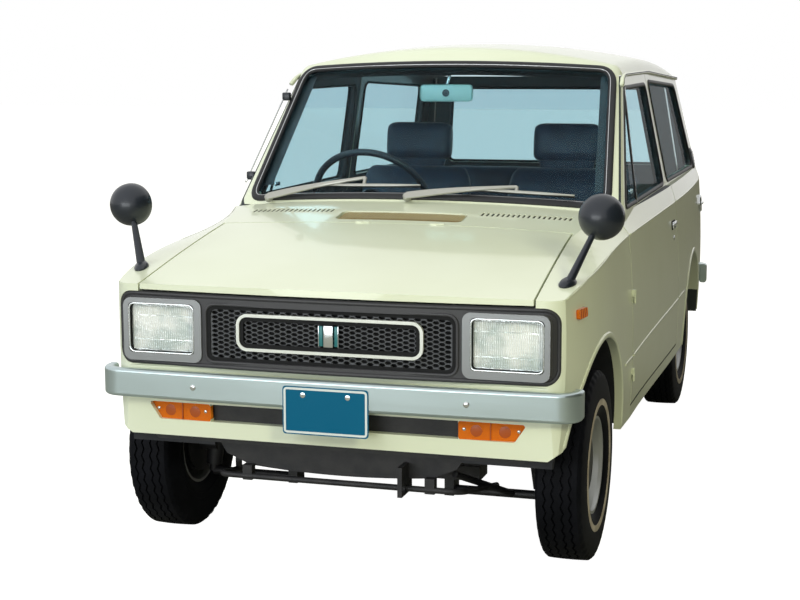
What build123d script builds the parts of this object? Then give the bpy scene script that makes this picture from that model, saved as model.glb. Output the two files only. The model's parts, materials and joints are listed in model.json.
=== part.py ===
"""A small two-door kei car with a van tail. Millimetres, +Z up, nose towards -Y, +X is the car's left side.
The origin is on the ground, midway between the bumpers' outer faces and on the centre plane."""

import math
import os

from build123d import *

os.makedirs("parts", exist_ok=True)

# ---------------------------------------------------------------- driving dimensions
WHEELBASE = 2000.0
FRONT_OVERHANG = 397.5
REAR_OVERHANG = 597.5
FRONT_AXLE_Y = -1100.0
FRONT_TRACK = 1136.0
REAR_TRACK = 1078.0
TYRE_R = 254.0
TYRE_WIDTH = 130.0
RIM_R = 127.0
RIM_WIDTH = 104.0

REAR_AXLE_Y = FRONT_AXLE_Y + WHEELBASE
FRONT_END_Y = FRONT_AXLE_Y - FRONT_OVERHANG
REAR_END_Y = REAR_AXLE_Y + REAR_OVERHANG
AXLE_Z = TYRE_R
ARCH_R = 311.0
FRONT_ARCH_R = 321.0
ARCH_Z = 274.0

DOOR_WALL = 42.0
CABIN_WALL = 26.0
FENDER_WALL = 22.0
SHUT_GAP = 5.5
FIT_GAP = 0.3
GLASS_SET = 8.0
GLASS_THICK = 5.0

WIDE_Z = 550.0
NOSE_Y = FRONT_END_Y + 17.5
TAIL_Y = REAR_END_Y - 45.5
SCUTTLE_Y = -635.0
BULKHEAD_Y = -712.0

DOOR_FRONT_Y = -632.0
DOOR_REAR_Y = REAR_AXLE_Y - 500.0
DOOR_BOTTOM = 322.0
BELT_Z = 876.0
DRIP_Z = 1262.0
ROOF_TOP = 1365.0
ROOF_APEX_Y = 230.0
ROOF_CROSS_R = 2300.0
ROOF_LONG_R = 9000.0
ROOF_EDGE_R = 52.0

BONNET_FRONT_X = 529.0
BONNET_REAR_X = 512.0
BONNET_REAR_Y = -905.0
FASCIA_LOW = 533.0
FASCIA_HIGH = 727.0
FASCIA_HALF = 592.0

GATE_LOW = 480.0
GATE_HIGH = 1236.0
DRIP_END = (TAIL_Y - 152.0, 1222.0)
GATE_HALF_LOW = 512.0
GATE_HALF_HIGH = 462.0

BUMPER_LOW = 446.0
BUMPER_HEIGHT = 76.0
BUMPER_DEPTH = 27.0
BUMPER_HALF = 645.0
REAR_BUMPER_LOW = 398.0
IRON_X = 366.0
REAR_BUMPER_HALF = 637.0
PLATE_WIDTH = 230.0
PLATE_HEIGHT = 125.0
PLATE_THICK = 2.0
PLATE_LOW = 381.0
REAR_PLATE_LOW = REAR_BUMPER_LOW + BUMPER_HEIGHT - PLATE_HEIGHT

LAMP_IN = 349.0
LAMP_OUT = 570.0
LAMP_LOW = 545.0
LAMP_HIGH = 711.0
LAMP_FRAME = 20.0
TURN_IN = 335.0
TURN_OUT = 511.0
TURN_LOW = 386.0
TURN_HIGH = 433.0
GRILLE_HALF = 334.0
GRILLE_LOW = 553.0
GRILLE_HIGH = 699.0
RING_HALF = 250.0
RING_LOW = 584.0
RING_HIGH = 681.0
RING_BAR = 8.0

FLOOR_Z = 262.0
FLOOR_THICK = 22.0
LOAD_FLOOR_Z = 470.0
APRON_X = 348.0

# Body sections, front part then rear part. Half widths are measured from the centre plane.
# columns: y, sill_x, sill_z, wide_x, crease_x, crease_z, deck_x, deck_z, crown_z
NOSE_SECTIONS = [
    (NOSE_Y, 573.0, 345.0, 585.0, 588.0, 737.0, 531.0, 742.0, 750.0),
    (-1250.0, 628.0, 323.0, 635.0, 622.0, 778.0, 527.0, 789.0, 800.0),
    (-940.0, 639.0, 288.0, 646.0, 628.0, 806.0, 522.0, 843.0, 856.0),
    (SCUTTLE_Y, 640.0, 280.0, 645.5, 629.0, 820.0, 590.0, 872.0, 903.0),
]
CABIN_SECTIONS = [
    NOSE_SECTIONS[-1],
    (0.0, 640.0, 280.0, 645.5, 630.0, 822.0, 612.0, BELT_Z, 884.0),
    (800.0, 638.0, 288.0, 644.0, 625.0, 825.0, 606.0, BELT_Z, 884.0),
    (TAIL_Y, 601.0, 330.0, 607.0, 594.0, 828.0, 578.0, BELT_Z - 2, 882.0),
]
# Plan outlines of the glasshouse. columns: z, nose_y, front_x, front_y, rear_x, rear_y, tail_y
GLASSHOUSE_ROWS = [
    (BELT_Z, -673.0, 604.0, -590.0, 584.0, TAIL_Y - 68.0, TAIL_Y - 48.0),
    (DRIP_Z, -303.0, 534.0, -226.0, 500.0, TAIL_Y - 186.0, TAIL_Y - 166.0),
]
GLASSHOUSE_FOOT = 812.0
GLASSHOUSE_HEAD = 1420.0
FRONT_CORNER_R = 42.0
REAR_CORNER_R = 60.0


# ---------------------------------------------------------------- shared shapes
def side_block(outline, x_from, x_to, radius=0.0):
    """Prism along X from an outline of (y, z) corners."""
    with BuildPart() as block:
        with BuildSketch(Plane.YZ.offset(x_from)) as face:
            with BuildLine():
                Polyline(*outline, close=True)
            make_face()
            if radius:
                fillet(face.vertices(), radius)
        extrude(amount=x_to - x_from)
    return block.part


def front_block(outline, y_from, y_to, radius=0.0):
    """Prism along Y from an outline of (x, z) corners."""
    with BuildPart() as block:
        with BuildSketch(Plane.XZ.offset(-y_from)) as face:
            with BuildLine():
                Polyline(*outline, close=True)
            make_face()
            if radius:
                fillet(face.vertices(), radius)
        extrude(amount=-(y_to - y_from))
    return block.part


def top_block(outline, z_from, z_to, radius=0.0):
    """Prism along Z from an outline of (x, y) corners."""
    with BuildPart() as block:
        with BuildSketch(Plane.XY.offset(z_from)) as face:
            with BuildLine():
                Polyline(*outline, close=True)
            make_face()
            if radius:
                fillet(face.vertices(), radius)
        extrude(amount=z_to - z_from)
    return block.part


def box_between(low, high):
    """Box from its lowest corner to its highest corner."""
    size = [h - l for l, h in zip(low, high)]
    with BuildPart() as block:
        with Locations(tuple(low)):
            Box(*size, align=(Align.MIN, Align.MIN, Align.MIN))
    return block.part


def rectangle(low, high):
    """Four corners of a rectangle from its lowest and highest corner."""
    return [low, (high[0], low[1]), high, (low[0], high[1])]


def both_sides(half):
    """A piece and its mirror image about the centre plane."""
    with BuildPart() as pair:
        add(half)
        mirror(about=Plane.YZ)
    return pair.part


def mirrored(piece):
    """Mirror image about the centre plane."""
    with BuildPart() as image:
        add(piece)
        mirror(about=Plane.YZ, mode=Mode.REPLACE)
    return image.part


def save(piece, name):
    piece.label = name
    export_step(piece, f"parts/{name}.step")


def tube(start, end, radius):
    """Round bar from one point to another."""
    way = Vector(*end) - Vector(*start)
    with BuildPart() as bar:
        with BuildSketch(Plane(origin=start, z_dir=way)):
            Circle(radius)
        extrude(amount=way.length)
    return bar.part


# ---------------------------------------------------------------- body form
def body_section(row, inset):
    """Cross-section of the lower body: flat bottom, bowed sides up to the crease, shoulders, crowned deck."""
    y, sill_x, sill_z, wide_x, crease_x, crease_z, deck_x, deck_z, crown_z = row
    with BuildSketch(Plane.XZ.offset(-y)) as section:
        with BuildLine():
            sill = (sill_x - inset, sill_z - inset)
            crease = (crease_x - inset, crease_z - inset / 2)
            deck = (deck_x - inset / 2, deck_z - inset)
            Line((-sill[0], sill[1]), sill)
            ThreePointArc(sill, (wide_x - inset, WIDE_Z), crease)
            Line(crease, deck)
            ThreePointArc(deck, (0, crown_z - inset), (-deck[0], deck[1]))
            Line((-deck[0], deck[1]), (-crease[0], crease[1]))
            ThreePointArc((-crease[0], crease[1]), (inset - wide_x, WIDE_Z), (-sill[0], sill[1]))
        make_face()
    return section.sketch


def plan_outline(inset, z_from, z_to):
    """Prism of the body's outline seen from above: bowed nose and tail with round corners."""
    nose_bow, tail_bow, corner_x, corner_r = 24.0, 16.0, 545.0, 70.0
    side_x = 660.0 - inset
    nose_y, tail_y = NOSE_Y + inset, TAIL_Y - inset
    with BuildPart() as block:
        with BuildSketch(Plane.XY.offset(z_from)):
            with BuildLine():
                for y, bow, turn in ((nose_y, nose_bow, 1), (tail_y, -tail_bow, -1)):
                    ThreePointArc((-corner_x, y + bow), (0, y), (corner_x, y + bow))
                    r = corner_r - inset / 2
                    d = r * math.sqrt(0.5)
                    for s in (-1, 1):
                        foot = (s * corner_x, y + bow)
                        mid = (s * (corner_x + d), y + bow + turn * (r - d))
                        knee = (s * (corner_x + r), y + bow + turn * r)
                        ThreePointArc(foot, mid, knee)
                        Line(knee, (s * side_x, y + bow + turn * (r + 110)))
                for s in (-1, 1):
                    Line((s * side_x, nose_y + nose_bow + corner_r - inset / 2 + 110),
                         (s * side_x, tail_y - tail_bow - corner_r + inset / 2 - 110))
            make_face()
        extrude(amount=z_to - z_from)
    return block.part


def end_profile(inset):
    """Prism of the nose and tail seen from the side."""
    outline = [
        (NOSE_Y + 38 + inset, 150), (NOSE_Y + 26 + inset, 528), (NOSE_Y + 2 + inset, 560), (NOSE_Y + inset, 700),
        (NOSE_Y + 2 + inset, 752 - inset), (NOSE_Y + 240, 803 - inset), (-900, 1000), (1300, 1000),
        (TAIL_Y - 44 - inset, 900), (TAIL_Y - 4 - inset, 780), (TAIL_Y - inset, 520), (TAIL_Y - 14 - inset, 150),
    ]
    return side_block(outline, -700, 700)


def lower_form(inset):
    """Closed form of the body below the windows."""
    with BuildPart() as form:
        for sections in (NOSE_SECTIONS, CABIN_SECTIONS):
            loft([body_section(row, inset) for row in sections])
        add(plan_outline(inset, 100, 1000), mode=Mode.INTERSECT)
        add(end_profile(inset), mode=Mode.INTERSECT)
    return form.part


def glasshouse_outline(z, inset):
    """Plan outline of the glasshouse at a height, between the belt row and the drip row or beyond them."""
    low, high = GLASSHOUSE_ROWS
    t = (z - low[0]) / (high[0] - low[0])
    nose_y, front_x, front_y, rear_x, rear_y, tail_y = [a + t * (b - a) for a, b in zip(low[1:], high[1:])]
    front = (front_x - inset, front_y + inset)
    rear = (rear_x - inset, rear_y - inset)
    with BuildSketch(Plane.XY.offset(z)) as outline:
        with BuildLine():
            ThreePointArc((-front[0], front[1]), (0, nose_y + inset), front)
            Line(front, rear)
            ThreePointArc(rear, (0, tail_y - inset), (-rear[0], rear[1]))
            Line((-rear[0], rear[1]), (-front[0], front[1]))
        make_face()
        corners = outline.vertices().sort_by(Axis.Y)
        fillet(corners[:2], FRONT_CORNER_R - inset / 2)
        fillet(corners[2:], REAR_CORNER_R - inset / 2)
    return outline.sketch


def roof_crown(inset):
    """Block whose top is crowned both ways: an arc turned about a cross axis far below."""
    reach, swing = 800.0, 14.0
    top = ROOF_TOP - inset
    drop = ROOF_CROSS_R - math.sqrt(ROOF_CROSS_R**2 - reach**2)
    axis = Axis((0, ROOF_APEX_Y, top - ROOF_LONG_R + inset), (1, 0, 0))
    with BuildPart() as crown:
        with BuildSketch(Plane.XZ.offset(-ROOF_APEX_Y)):
            with BuildLine():
                ThreePointArc((-reach, top - drop), (0, top), (reach, top - drop))
                Polyline((reach, top - drop), (reach, 500), (-reach, 500), (-reach, top - drop))
            make_face()
        revolve(axis=axis, revolution_arc=2 * swing)
    return crown.part.rotate(axis, -swing)


def glasshouse(inset):
    """Closed form of the body above the belt, roof edge rounded."""
    with BuildPart() as form:
        loft([glasshouse_outline(z, inset) for z in (GLASSHOUSE_FOOT, GLASSHOUSE_HEAD)])
        add(roof_crown(inset), mode=Mode.INTERSECT)
        top = form.faces().sort_by(Axis.Z)[-1]
        fillet(top.edges(), ROOF_EDGE_R - inset)
    return form.part


# ---------------------------------------------------------------- side outlines, as (y, z) corners
def offset_outline(outline, gap):
    """The outline moved outwards by a gap, corner by corner, for straight-sided outlines."""
    with BuildSketch() as grown:
        with BuildLine():
            Polyline(*outline, close=True)
        make_face()
        offset(amount=gap, kind=Kind.INTERSECTION, mode=Mode.REPLACE)
    with BuildSketch() as face:
        add(grown.sketch)
    wire = face.faces()[0].outer_wire()
    return [(v.X, v.Y) for v in (edge.position_at(0) for edge in wire.order_edges())]


DOOR_OUTLINE = [
    (DOOR_FRONT_Y, DOOR_BOTTOM), (DOOR_REAR_Y, DOOR_BOTTOM), (DOOR_REAR_Y, BELT_Z), (DOOR_REAR_Y - 55, DRIP_Z),
    (-212, DRIP_Z), (DOOR_FRONT_Y + 62, BELT_Z + 12), (DOOR_FRONT_Y, BELT_Z - 30),
]
DOOR_WINDOW = [(-535, BELT_Z + 10), (DOOR_REAR_Y - 45, BELT_Z + 10), (DOOR_REAR_Y - 92, DRIP_Z - 34), (-212, DRIP_Z - 34)]
QUARTER_WINDOW = [(DOOR_REAR_Y + 52, BELT_Z + 12), (TAIL_Y - 177, BELT_Z + 6),
                  (TAIL_Y - 280, DRIP_Z - 58), (DOOR_REAR_Y - 2, DRIP_Z - 26)]
GATE_WINDOW = [(-452, 878), (452, 878), (408, 1196), (-408, 1196)]
GATE_OUTLINE = [(-GATE_HALF_LOW, GATE_LOW), (GATE_HALF_LOW, GATE_LOW), (GATE_HALF_LOW, 860),
                (GATE_HALF_HIGH, GATE_HIGH), (-GATE_HALF_HIGH, GATE_HIGH), (-GATE_HALF_LOW, 860)]
BONNET_OUTLINE = [(-BONNET_FRONT_X, -1600), (BONNET_FRONT_X, -1600),
                  (BONNET_REAR_X, BONNET_REAR_Y), (-BONNET_REAR_X, BONNET_REAR_Y)]
SIDE_IN = 380.0
SCUTTLE_HALF = 545.0
SCUTTLE_TOP = 925.0
GATE_INNER_Y = TAIL_Y - 200.0
SIDE_OUT = 720.0
WINDOW_R = 26.0


# Windscreen outline seen from the front: half width, z at the corner and z on the centre plane.
SCREEN_FOOT = (556.0, 893.0, 915.0)
SCREEN_HEAD = (505.0, 1284.0, 1302.0)


def screen_opening():
    """Prism along Y with bowed lower and upper edges and round corners."""
    foot_x, foot_z, foot_bow = SCREEN_FOOT
    head_x, head_z, head_bow = SCREEN_HEAD
    with BuildPart() as block:
        with BuildSketch(Plane.XZ.offset(800)) as face:
            with BuildLine():
                ThreePointArc((-foot_x, foot_z), (0, foot_bow), (foot_x, foot_z))
                Line((foot_x, foot_z), (head_x, head_z))
                ThreePointArc((head_x, head_z), (0, head_bow), (-head_x, head_z))
                Line((-head_x, head_z), (-foot_x, foot_z))
            make_face()
            fillet(face.vertices(), 34)
        extrude(amount=-740)
    return block.part


# ---------------------------------------------------------------- body panels
def wheel_arch(axle_y, inner_x, radius):
    """Round opening over one wheel on the left side."""
    with BuildPart() as arch:
        with BuildSketch(Plane.YZ.offset(inner_x)):
            with Locations((axle_y, ARCH_Z)):
                Circle(radius)
        extrude(amount=SIDE_OUT - inner_x)
    return arch.part


def cut_away(piece, *tools):
    """The piece with each tool taken away."""
    with BuildPart() as result:
        add(piece)
        for tool in tools:
            add(tool, mode=Mode.SUBTRACT)
    return result.part


def keep_inside(piece, *tools):
    """The piece's share inside every tool."""
    with BuildPart() as result:
        add(piece)
        for tool in tools:
            add(tool, mode=Mode.INTERSECT)
    return result.part


def joined(*pieces):
    with BuildPart() as result:
        for piece in pieces:
            add(piece)
    return result.part


WHOLE = 2000.0
lower_outer = lower_form(0)
cabin_outer = glasshouse(0)
outer = joined(lower_outer, cabin_outer)
cabin_box = box_between((-WHOLE, BULKHEAD_Y, -WHOLE), (WHOLE, WHOLE, WHOLE))
cabin_void = joined(keep_inside(lower_form(DOOR_WALL), cabin_box), glasshouse(CABIN_WALL))
nose_cavity = lower_form(FENDER_WALL)
nose_shell = cut_away(outer, nose_cavity)
skin = cut_away(outer, cabin_void)

scuttle_box = box_between((-SCUTTLE_HALF, -WHOLE, 0), (SCUTTLE_HALF, -300, SCUTTLE_TOP))
scuttle_clear = box_between((0, -WHOLE, 0), (SCUTTLE_HALF + SHUT_GAP, -300, SCUTTLE_TOP + SHUT_GAP))
door_block = cut_away(side_block(DOOR_OUTLINE, SIDE_IN, SIDE_OUT), scuttle_clear)
door_hole = cut_away(side_block(offset_outline(DOOR_OUTLINE, SHUT_GAP), SIDE_IN, SIDE_OUT), scuttle_box)
door_window = side_block(DOOR_WINDOW, SIDE_IN, SIDE_OUT, WINDOW_R)
quarter_window = side_block(QUARTER_WINDOW, SIDE_IN, SIDE_OUT, WINDOW_R)
screen_block = screen_opening()
gate_window = front_block(GATE_WINDOW, GATE_INNER_Y, 1600, WINDOW_R)
gate_block = front_block(GATE_OUTLINE, GATE_INNER_Y, 1600)
gate_hole = front_block(offset_outline(GATE_OUTLINE, SHUT_GAP), GATE_INNER_Y - SHUT_GAP, 1600)
bonnet_block = top_block(BONNET_OUTLINE, FASCIA_HIGH + SHUT_GAP, 1000)
bonnet_hole = top_block(offset_outline(BONNET_OUTLINE, SHUT_GAP), FASCIA_HIGH - 60, 1000)
fascia_outline = rectangle((-FASCIA_HALF, FASCIA_LOW), (FASCIA_HALF, FASCIA_HIGH))
fascia_hole = front_block(fascia_outline, -1600, -1395, 40)
front_arch = wheel_arch(FRONT_AXLE_Y, 352.0, FRONT_ARCH_R)
rear_arch = wheel_arch(REAR_AXLE_Y, 440.0, ARCH_R)

# The panels meet face to face on these planes.
SEAM_X = 551.0
VALANCE_TOP = FASCIA_LOW
BELOW_BELT = BELT_Z - 1.0


# Hinge axes: the doors' stand just outside the skin, the lids' lie in their shut gaps.
DOOR_HINGE = (650.0, DOOR_FRONT_Y - SHUT_GAP / 2)
DOOR_HINGE_HEIGHTS = (390.0, 620.0)
BONNET_HINGE = (BONNET_REAR_Y + SHUT_GAP / 2, 863.0)
GATE_HINGE = (TAIL_Y - 162.0, GATE_HIGH + SHUT_GAP / 2)
KNUCKLE_R = 3.4
LID_KNUCKLE_R = 2.4
KNUCKLE_LONG = 20.0
LID_HINGE_X = 110.0


def door_knuckles(z_shift, y_from, y_to):
    """Barrels and leaves of one half of the left door's hinges."""
    with BuildPart() as knuckles:
        for z in DOOR_HINGE_HEIGHTS:
            low = z + z_shift
            add(tube((*DOOR_HINGE, low), (*DOOR_HINGE, low + KNUCKLE_LONG), KNUCKLE_R))
            add(box_between((638, y_from, low), (DOOR_HINGE[0], y_to, low + KNUCKLE_LONG)))
    return knuckles.part


def lid_knuckles(axis_yz, x_shift, low, high):
    """Barrels of one half of a lid's hinges, on leaves between two corners (y, z)."""
    with BuildPart() as knuckles:
        for x in (-LID_HINGE_X, LID_HINGE_X):
            start = x + x_shift
            add(tube((start, *axis_yz), (start + KNUCKLE_LONG, *axis_yz), LID_KNUCKLE_R))
            add(box_between((start, *low), (start + KNUCKLE_LONG, *high)))
    return knuckles.part


def make_bonnet():
    """Crowned lid with a turned-down front lip."""
    y, z = BONNET_HINGE
    lid = keep_inside(nose_shell, bonnet_block)
    return joined(lid, lid_knuckles(BONNET_HINGE, 0, (BONNET_REAR_Y - 1, z - 12), (y, z + 2)))


def make_sweep():
    """Cutter for the wing's lower front corner, which sweeps round into the wheel arch."""
    with BuildPart() as corner:
        with BuildSketch(Plane.XZ.offset(1300)):
            with BuildLine():
                ThreePointArc((SEAM_X + 6, 340), (604, 377), (654, 470))
                Polyline((654, 470), (740, 470), (740, 200), (SEAM_X + 6, 200), (SEAM_X + 6, 340))
            make_face()
        extrude(amount=300)
    return corner.part


def make_fenders():
    """Front wings: from the lamp panel back to the door, with open wheel arches."""
    zone = box_between((0, -WHOLE, 0), (WHOLE, DOOR_FRONT_Y - SHUT_GAP, WHOLE))
    under_nose = box_between((-1, -WHOLE, 0), (SEAM_X, -1375, VALANCE_TOP + 1))
    scuttle = top_block([(-1, BONNET_REAR_Y), (BONNET_REAR_X + SHUT_GAP, BONNET_REAR_Y), (545, -700), (560, 0), (-1, 0)],
                        780, 1200)
    left = cut_away(keep_inside(nose_shell, zone), bonnet_hole, fascia_hole, front_arch, under_nose, scuttle,
                    door_hole, make_sweep(), box_between((-1, -WHOLE, 0), (420, WHOLE, 700)))
    wing = left.solids().sort_by(SortBy.VOLUME)[-1]
    y = DOOR_FRONT_Y - SHUT_GAP
    return joined(wing, door_knuckles(KNUCKLE_LONG + FIT_GAP, y - 5, y + 0.6))


# The drip line is level over the door and falls from there to the tail.
DRIP_START = (DOOR_REAR_Y, DRIP_Z)


def make_quarter():
    """Rear side panel: sill under the door, pillar behind it, window surround and tail corner."""
    zone = side_block([(DOOR_FRONT_Y - SHUT_GAP, 0), (WHOLE, 0), (WHOLE, DRIP_END[1]), DRIP_END, DRIP_START,
                       (DOOR_FRONT_Y - SHUT_GAP, DRIP_Z)], 0, WHOLE)
    above_belt = box_between((0, -WHOLE, BELOW_BELT), (WHOLE, DOOR_REAR_Y - 160, WHOLE))
    tail_low = box_between((-1, TAIL_Y - 80, 0), (GATE_HALF_LOW + SHUT_GAP, WHOLE, GATE_LOW - SHUT_GAP))
    left = cut_away(keep_inside(skin, zone), above_belt, scuttle_box, door_hole, quarter_window, rear_arch, gate_hole, tail_low,
                    box_between((-1, -WHOLE, 0), (SIDE_IN, TAIL_Y - 200, 700)))
    return left.solids().sort_by(SortBy.VOLUME)[-1]


VENT_HALF = 190.0
VENT_FRONT_Y = -868.0
VENT_REAR_Y = -770.0
LOUVRE_WIDTH = 6.5
LOUVRE_LONG = 40.0
LOUVRE_PITCH = 14.8
LOUVRE_START = 228.0
LOUVRE_COUNT = 18
LOUVRE_FRONT_Y = -784.0
LOUVRE_SHIFT = 1.2


def make_vents():
    """Cutters for the scuttle: one broad vent in the middle and a row of slots on each side."""
    with BuildPart() as vents:
        with BuildSketch(Plane.XY.offset(780)):
            with Locations((0, (VENT_FRONT_Y + VENT_REAR_Y) / 2)):
                RectangleRounded(2 * VENT_HALF, VENT_REAR_Y - VENT_FRONT_Y, 24)
            for slot in range(LOUVRE_COUNT):
                y = LOUVRE_FRONT_Y + slot * LOUVRE_SHIFT + LOUVRE_LONG / 2
                with Locations(*[(s * (LOUVRE_START + slot * LOUVRE_PITCH), y) for s in (-1, 1)]):
                    RectangleRounded(LOUVRE_WIDTH, LOUVRE_LONG, 3)
        extrude(amount=150)
    return vents.part


def make_cowl():
    """Scuttle between the bonnet and the windscreen."""
    shell = cut_away(nose_shell, cabin_void)
    outline = [(-BONNET_REAR_X - SHUT_GAP, BONNET_REAR_Y), (BONNET_REAR_X + SHUT_GAP, BONNET_REAR_Y), (SCUTTLE_HALF, -700),
               (SCUTTLE_HALF, -300), (-SCUTTLE_HALF, -300), (-SCUTTLE_HALF, -700)]
    zone = top_block(outline, 780, SCUTTLE_TOP)
    y, z = BONNET_HINGE
    scuttle = cut_away(keep_inside(shell, zone), bonnet_hole, screen_block, make_vents())
    leaves = lid_knuckles(BONNET_HINGE, KNUCKLE_LONG + FIT_GAP, (y, z - 12), (BONNET_REAR_Y + SHUT_GAP + 1, z + 2))
    return joined(scuttle, leaves)


def make_roof():
    """Roof skin with the windscreen header and both front pillars, made as a left half and its mirror image."""
    shell = cut_away(cabin_outer, cabin_void)
    zone = box_between((0, DOOR_FRONT_Y - SHUT_GAP, BELOW_BELT), (WHOLE, WHOLE, WHOLE))
    rear = side_block([(DOOR_REAR_Y - 160, 0), (WHOLE, 0), (WHOLE, DRIP_END[1]), DRIP_END, DRIP_START,
                       (DOOR_REAR_Y - 160, DRIP_Z)], -1, WHOLE)
    half = cut_away(keep_inside(shell, zone), rear, scuttle_box, screen_block, door_hole, gate_hole)
    y, z = GATE_HINGE
    leaves = lid_knuckles(GATE_HINGE, KNUCKLE_LONG + FIT_GAP, (y - 12, z), (y + 1, z + SHUT_GAP / 2 + 1))
    return joined(half, mirrored(half), leaves)


def trapezoid(low_in, low_out, high_out, z_low, z_high):
    return [(low_in, z_low), (low_out, z_low), (high_out, z_high), (low_in, z_high)]


turn_block = front_block(trapezoid(TURN_IN, TURN_OUT - 32, TURN_OUT, TURN_LOW, TURN_HIGH), -1600, -1390, 6)


def make_valance():
    """Apron below the bumper, with a slot across its middle and a recess for each turn lamp."""
    zone = box_between((-SEAM_X, -WHOLE, 0), (SEAM_X, -1375, VALANCE_TOP))
    slot = front_block(rectangle((-TURN_IN, TURN_LOW), (TURN_IN, TURN_HIGH)), -1600, -1390)
    return cut_away(keep_inside(nose_shell, zone), slot, turn_block, mirrored(turn_block))


def make_tail_panel():
    """Apron below the tailgate."""
    zone = box_between((-GATE_HALF_LOW - SHUT_GAP, TAIL_Y - 80, 0), (GATE_HALF_LOW + SHUT_GAP, WHOLE, GATE_LOW - SHUT_GAP))
    return keep_inside(skin, zone)


def make_door():
    """Left door with its window frame."""
    panel = cut_away(keep_inside(skin, door_block), door_window)
    return joined(panel, door_knuckles(0, DOOR_FRONT_Y - 0.6, DOOR_FRONT_Y + 5))


glass_shell = cut_away(glasshouse(GLASS_SET), glasshouse(GLASS_SET + GLASS_THICK))


def make_tailgate():
    """Top-hinged tail door with its window frame."""
    y, z = GATE_HINGE
    gate = cut_away(keep_inside(skin, gate_block), gate_window)
    return joined(gate, lid_knuckles(GATE_HINGE, 0, (y - 12, z - SHUT_GAP / 2 - 1), (y + 1, z)))


# ---------------------------------------------------------------- lamp panel, lamps and grille
PANEL_SET = 7.0
PANEL_THICK = 26.0
lamp_low, lamp_high = (LAMP_IN, LAMP_LOW), (LAMP_OUT, LAMP_HIGH)
lamp_block = front_block(rectangle(lamp_low, lamp_high), -1600, -1390, 22)
grille_block = front_block(rectangle((-GRILLE_HALF, GRILLE_LOW), (GRILLE_HALF, GRILLE_HIGH)), -1600, -1390, 12)
GRILLE_FRONT_Y = -1462.0
GRILLE_THICK = 8.0
LAMP_FRONT_Y = -1468.0
LAMP_BACK_Y = -1430.0
LENS_Y = -1452.0
LENS_THICK = 10.0


def make_grille_panel():
    """Dark surround that carries the headlamps and the grille."""
    band = cut_away(plan_outline(PANEL_SET, FASCIA_LOW, FASCIA_HIGH),
                    plan_outline(PANEL_SET + PANEL_THICK, FASCIA_LOW - 1, FASCIA_HIGH + 1))
    return cut_away(keep_inside(band, fascia_hole), lamp_block, mirrored(lamp_block), grille_block)


CELL_WIDTH = 19.0
CELL_HEIGHT = 9.5
CELL_PITCH_X = 15.6
CELL_PITCH_Z = 12.0


def honeycomb_centres():
    """Centres (x, z) of the grille's cells, every second column half a step up."""
    columns = int((GRILLE_HALF - 16) / CELL_PITCH_X)
    rows = int((GRILLE_HIGH - GRILLE_LOW) / 2 / CELL_PITCH_Z)
    middle = (GRILLE_LOW + GRILLE_HIGH) / 2
    centres = []
    for column in range(-columns, columns + 1):
        lift = CELL_PITCH_Z / 2 if column % 2 else 0
        for row in range(-rows, rows):
            z = (row + 0.5) * CELL_PITCH_Z + lift
            if abs(z) < (GRILLE_HIGH - GRILLE_LOW) / 2 - CELL_HEIGHT:
                centres.append((column * CELL_PITCH_X, middle + z))
    return centres


def make_grille():
    """Honeycomb plate of long cells, set in the surround."""
    side_x, top_z = CELL_WIDTH / 2 - 5, CELL_HEIGHT / 2
    with BuildPart() as plate:
        with BuildSketch(Plane.XZ.offset(-GRILLE_FRONT_Y)):
            with Locations((0, (GRILLE_LOW + GRILLE_HIGH) / 2)):
                RectangleRounded(2 * (GRILLE_HALF - FIT_GAP), GRILLE_HIGH - GRILLE_LOW - 2 * FIT_GAP, 12)
            with Locations(*honeycomb_centres()):
                Polygon((-CELL_WIDTH / 2, 0), (-side_x, -top_z), (side_x, -top_z), (CELL_WIDTH / 2, 0), (side_x, top_z),
                        (-side_x, top_z), align=None, mode=Mode.SUBTRACT)
        extrude(amount=-GRILLE_THICK)
    return plate.part


def make_grille_ring():
    """Bright oblong ring on the grille's face."""
    with BuildPart() as ring:
        with BuildSketch(Plane.XZ.offset(-GRILLE_FRONT_Y)):
            with Locations((0, (RING_LOW + RING_HIGH) / 2)):
                RectangleRounded(2 * RING_HALF, RING_HIGH - RING_LOW, 30)
                RectangleRounded(2 * (RING_HALF - RING_BAR), RING_HIGH - RING_LOW - 2 * RING_BAR, 30 - RING_BAR,
                                 mode=Mode.SUBTRACT)
        extrude(amount=9)
    return ring.part


LENS_OUTLINE = rectangle((LAMP_IN + LAMP_FRAME, LAMP_LOW + LAMP_FRAME), (LAMP_OUT - 14, LAMP_HIGH - 13))


def make_headlamp_bezel():
    """Left lamp's frame and its closed pan."""
    frame = keep_inside(lamp_block, box_between((0, LAMP_FRONT_Y, 0), (WHOLE, LAMP_BACK_Y, WHOLE)))
    opening = front_block(LENS_OUTLINE, LAMP_FRONT_Y - 1, LAMP_BACK_Y - 5, 12)
    return cut_away(frame, opening)


def make_headlamp_lens():
    """Left lamp's glass, just inside its frame."""
    inner = [(x + (FIT_GAP if x < 400 else -FIT_GAP), z + (FIT_GAP if z < 600 else -FIT_GAP)) for x, z in LENS_OUTLINE]
    return front_block(inner, LENS_Y, LENS_Y + LENS_THICK, 12)


def make_turn_lamp():
    """Left turn lamp, standing a little proud of the apron."""
    proud, deep = 2.0, 13.0
    nose = [(NOSE_Y + 26, 100), (NOSE_Y + 26, 700), (NOSE_Y + 26 + deep, 700), (NOSE_Y + 26 + deep, 100)]
    band = cut_away(plan_outline(26 - proud, 300, 500), plan_outline(26 + deep, 299, 501))
    return keep_inside(band, turn_block)


MARKER_Y = -1334.0
MARKER_Z = 700.0


def make_side_marker():
    """Left side marker lamp on the front wing."""
    outline = rectangle((MARKER_Y - 30, MARKER_Z - 12), (MARKER_Y + 30, MARKER_Z + 12))
    proud = cut_away(lower_form(-9), lower_outer)
    return keep_inside(proud, side_block(outline, SIDE_IN, SIDE_OUT, 6))


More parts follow.
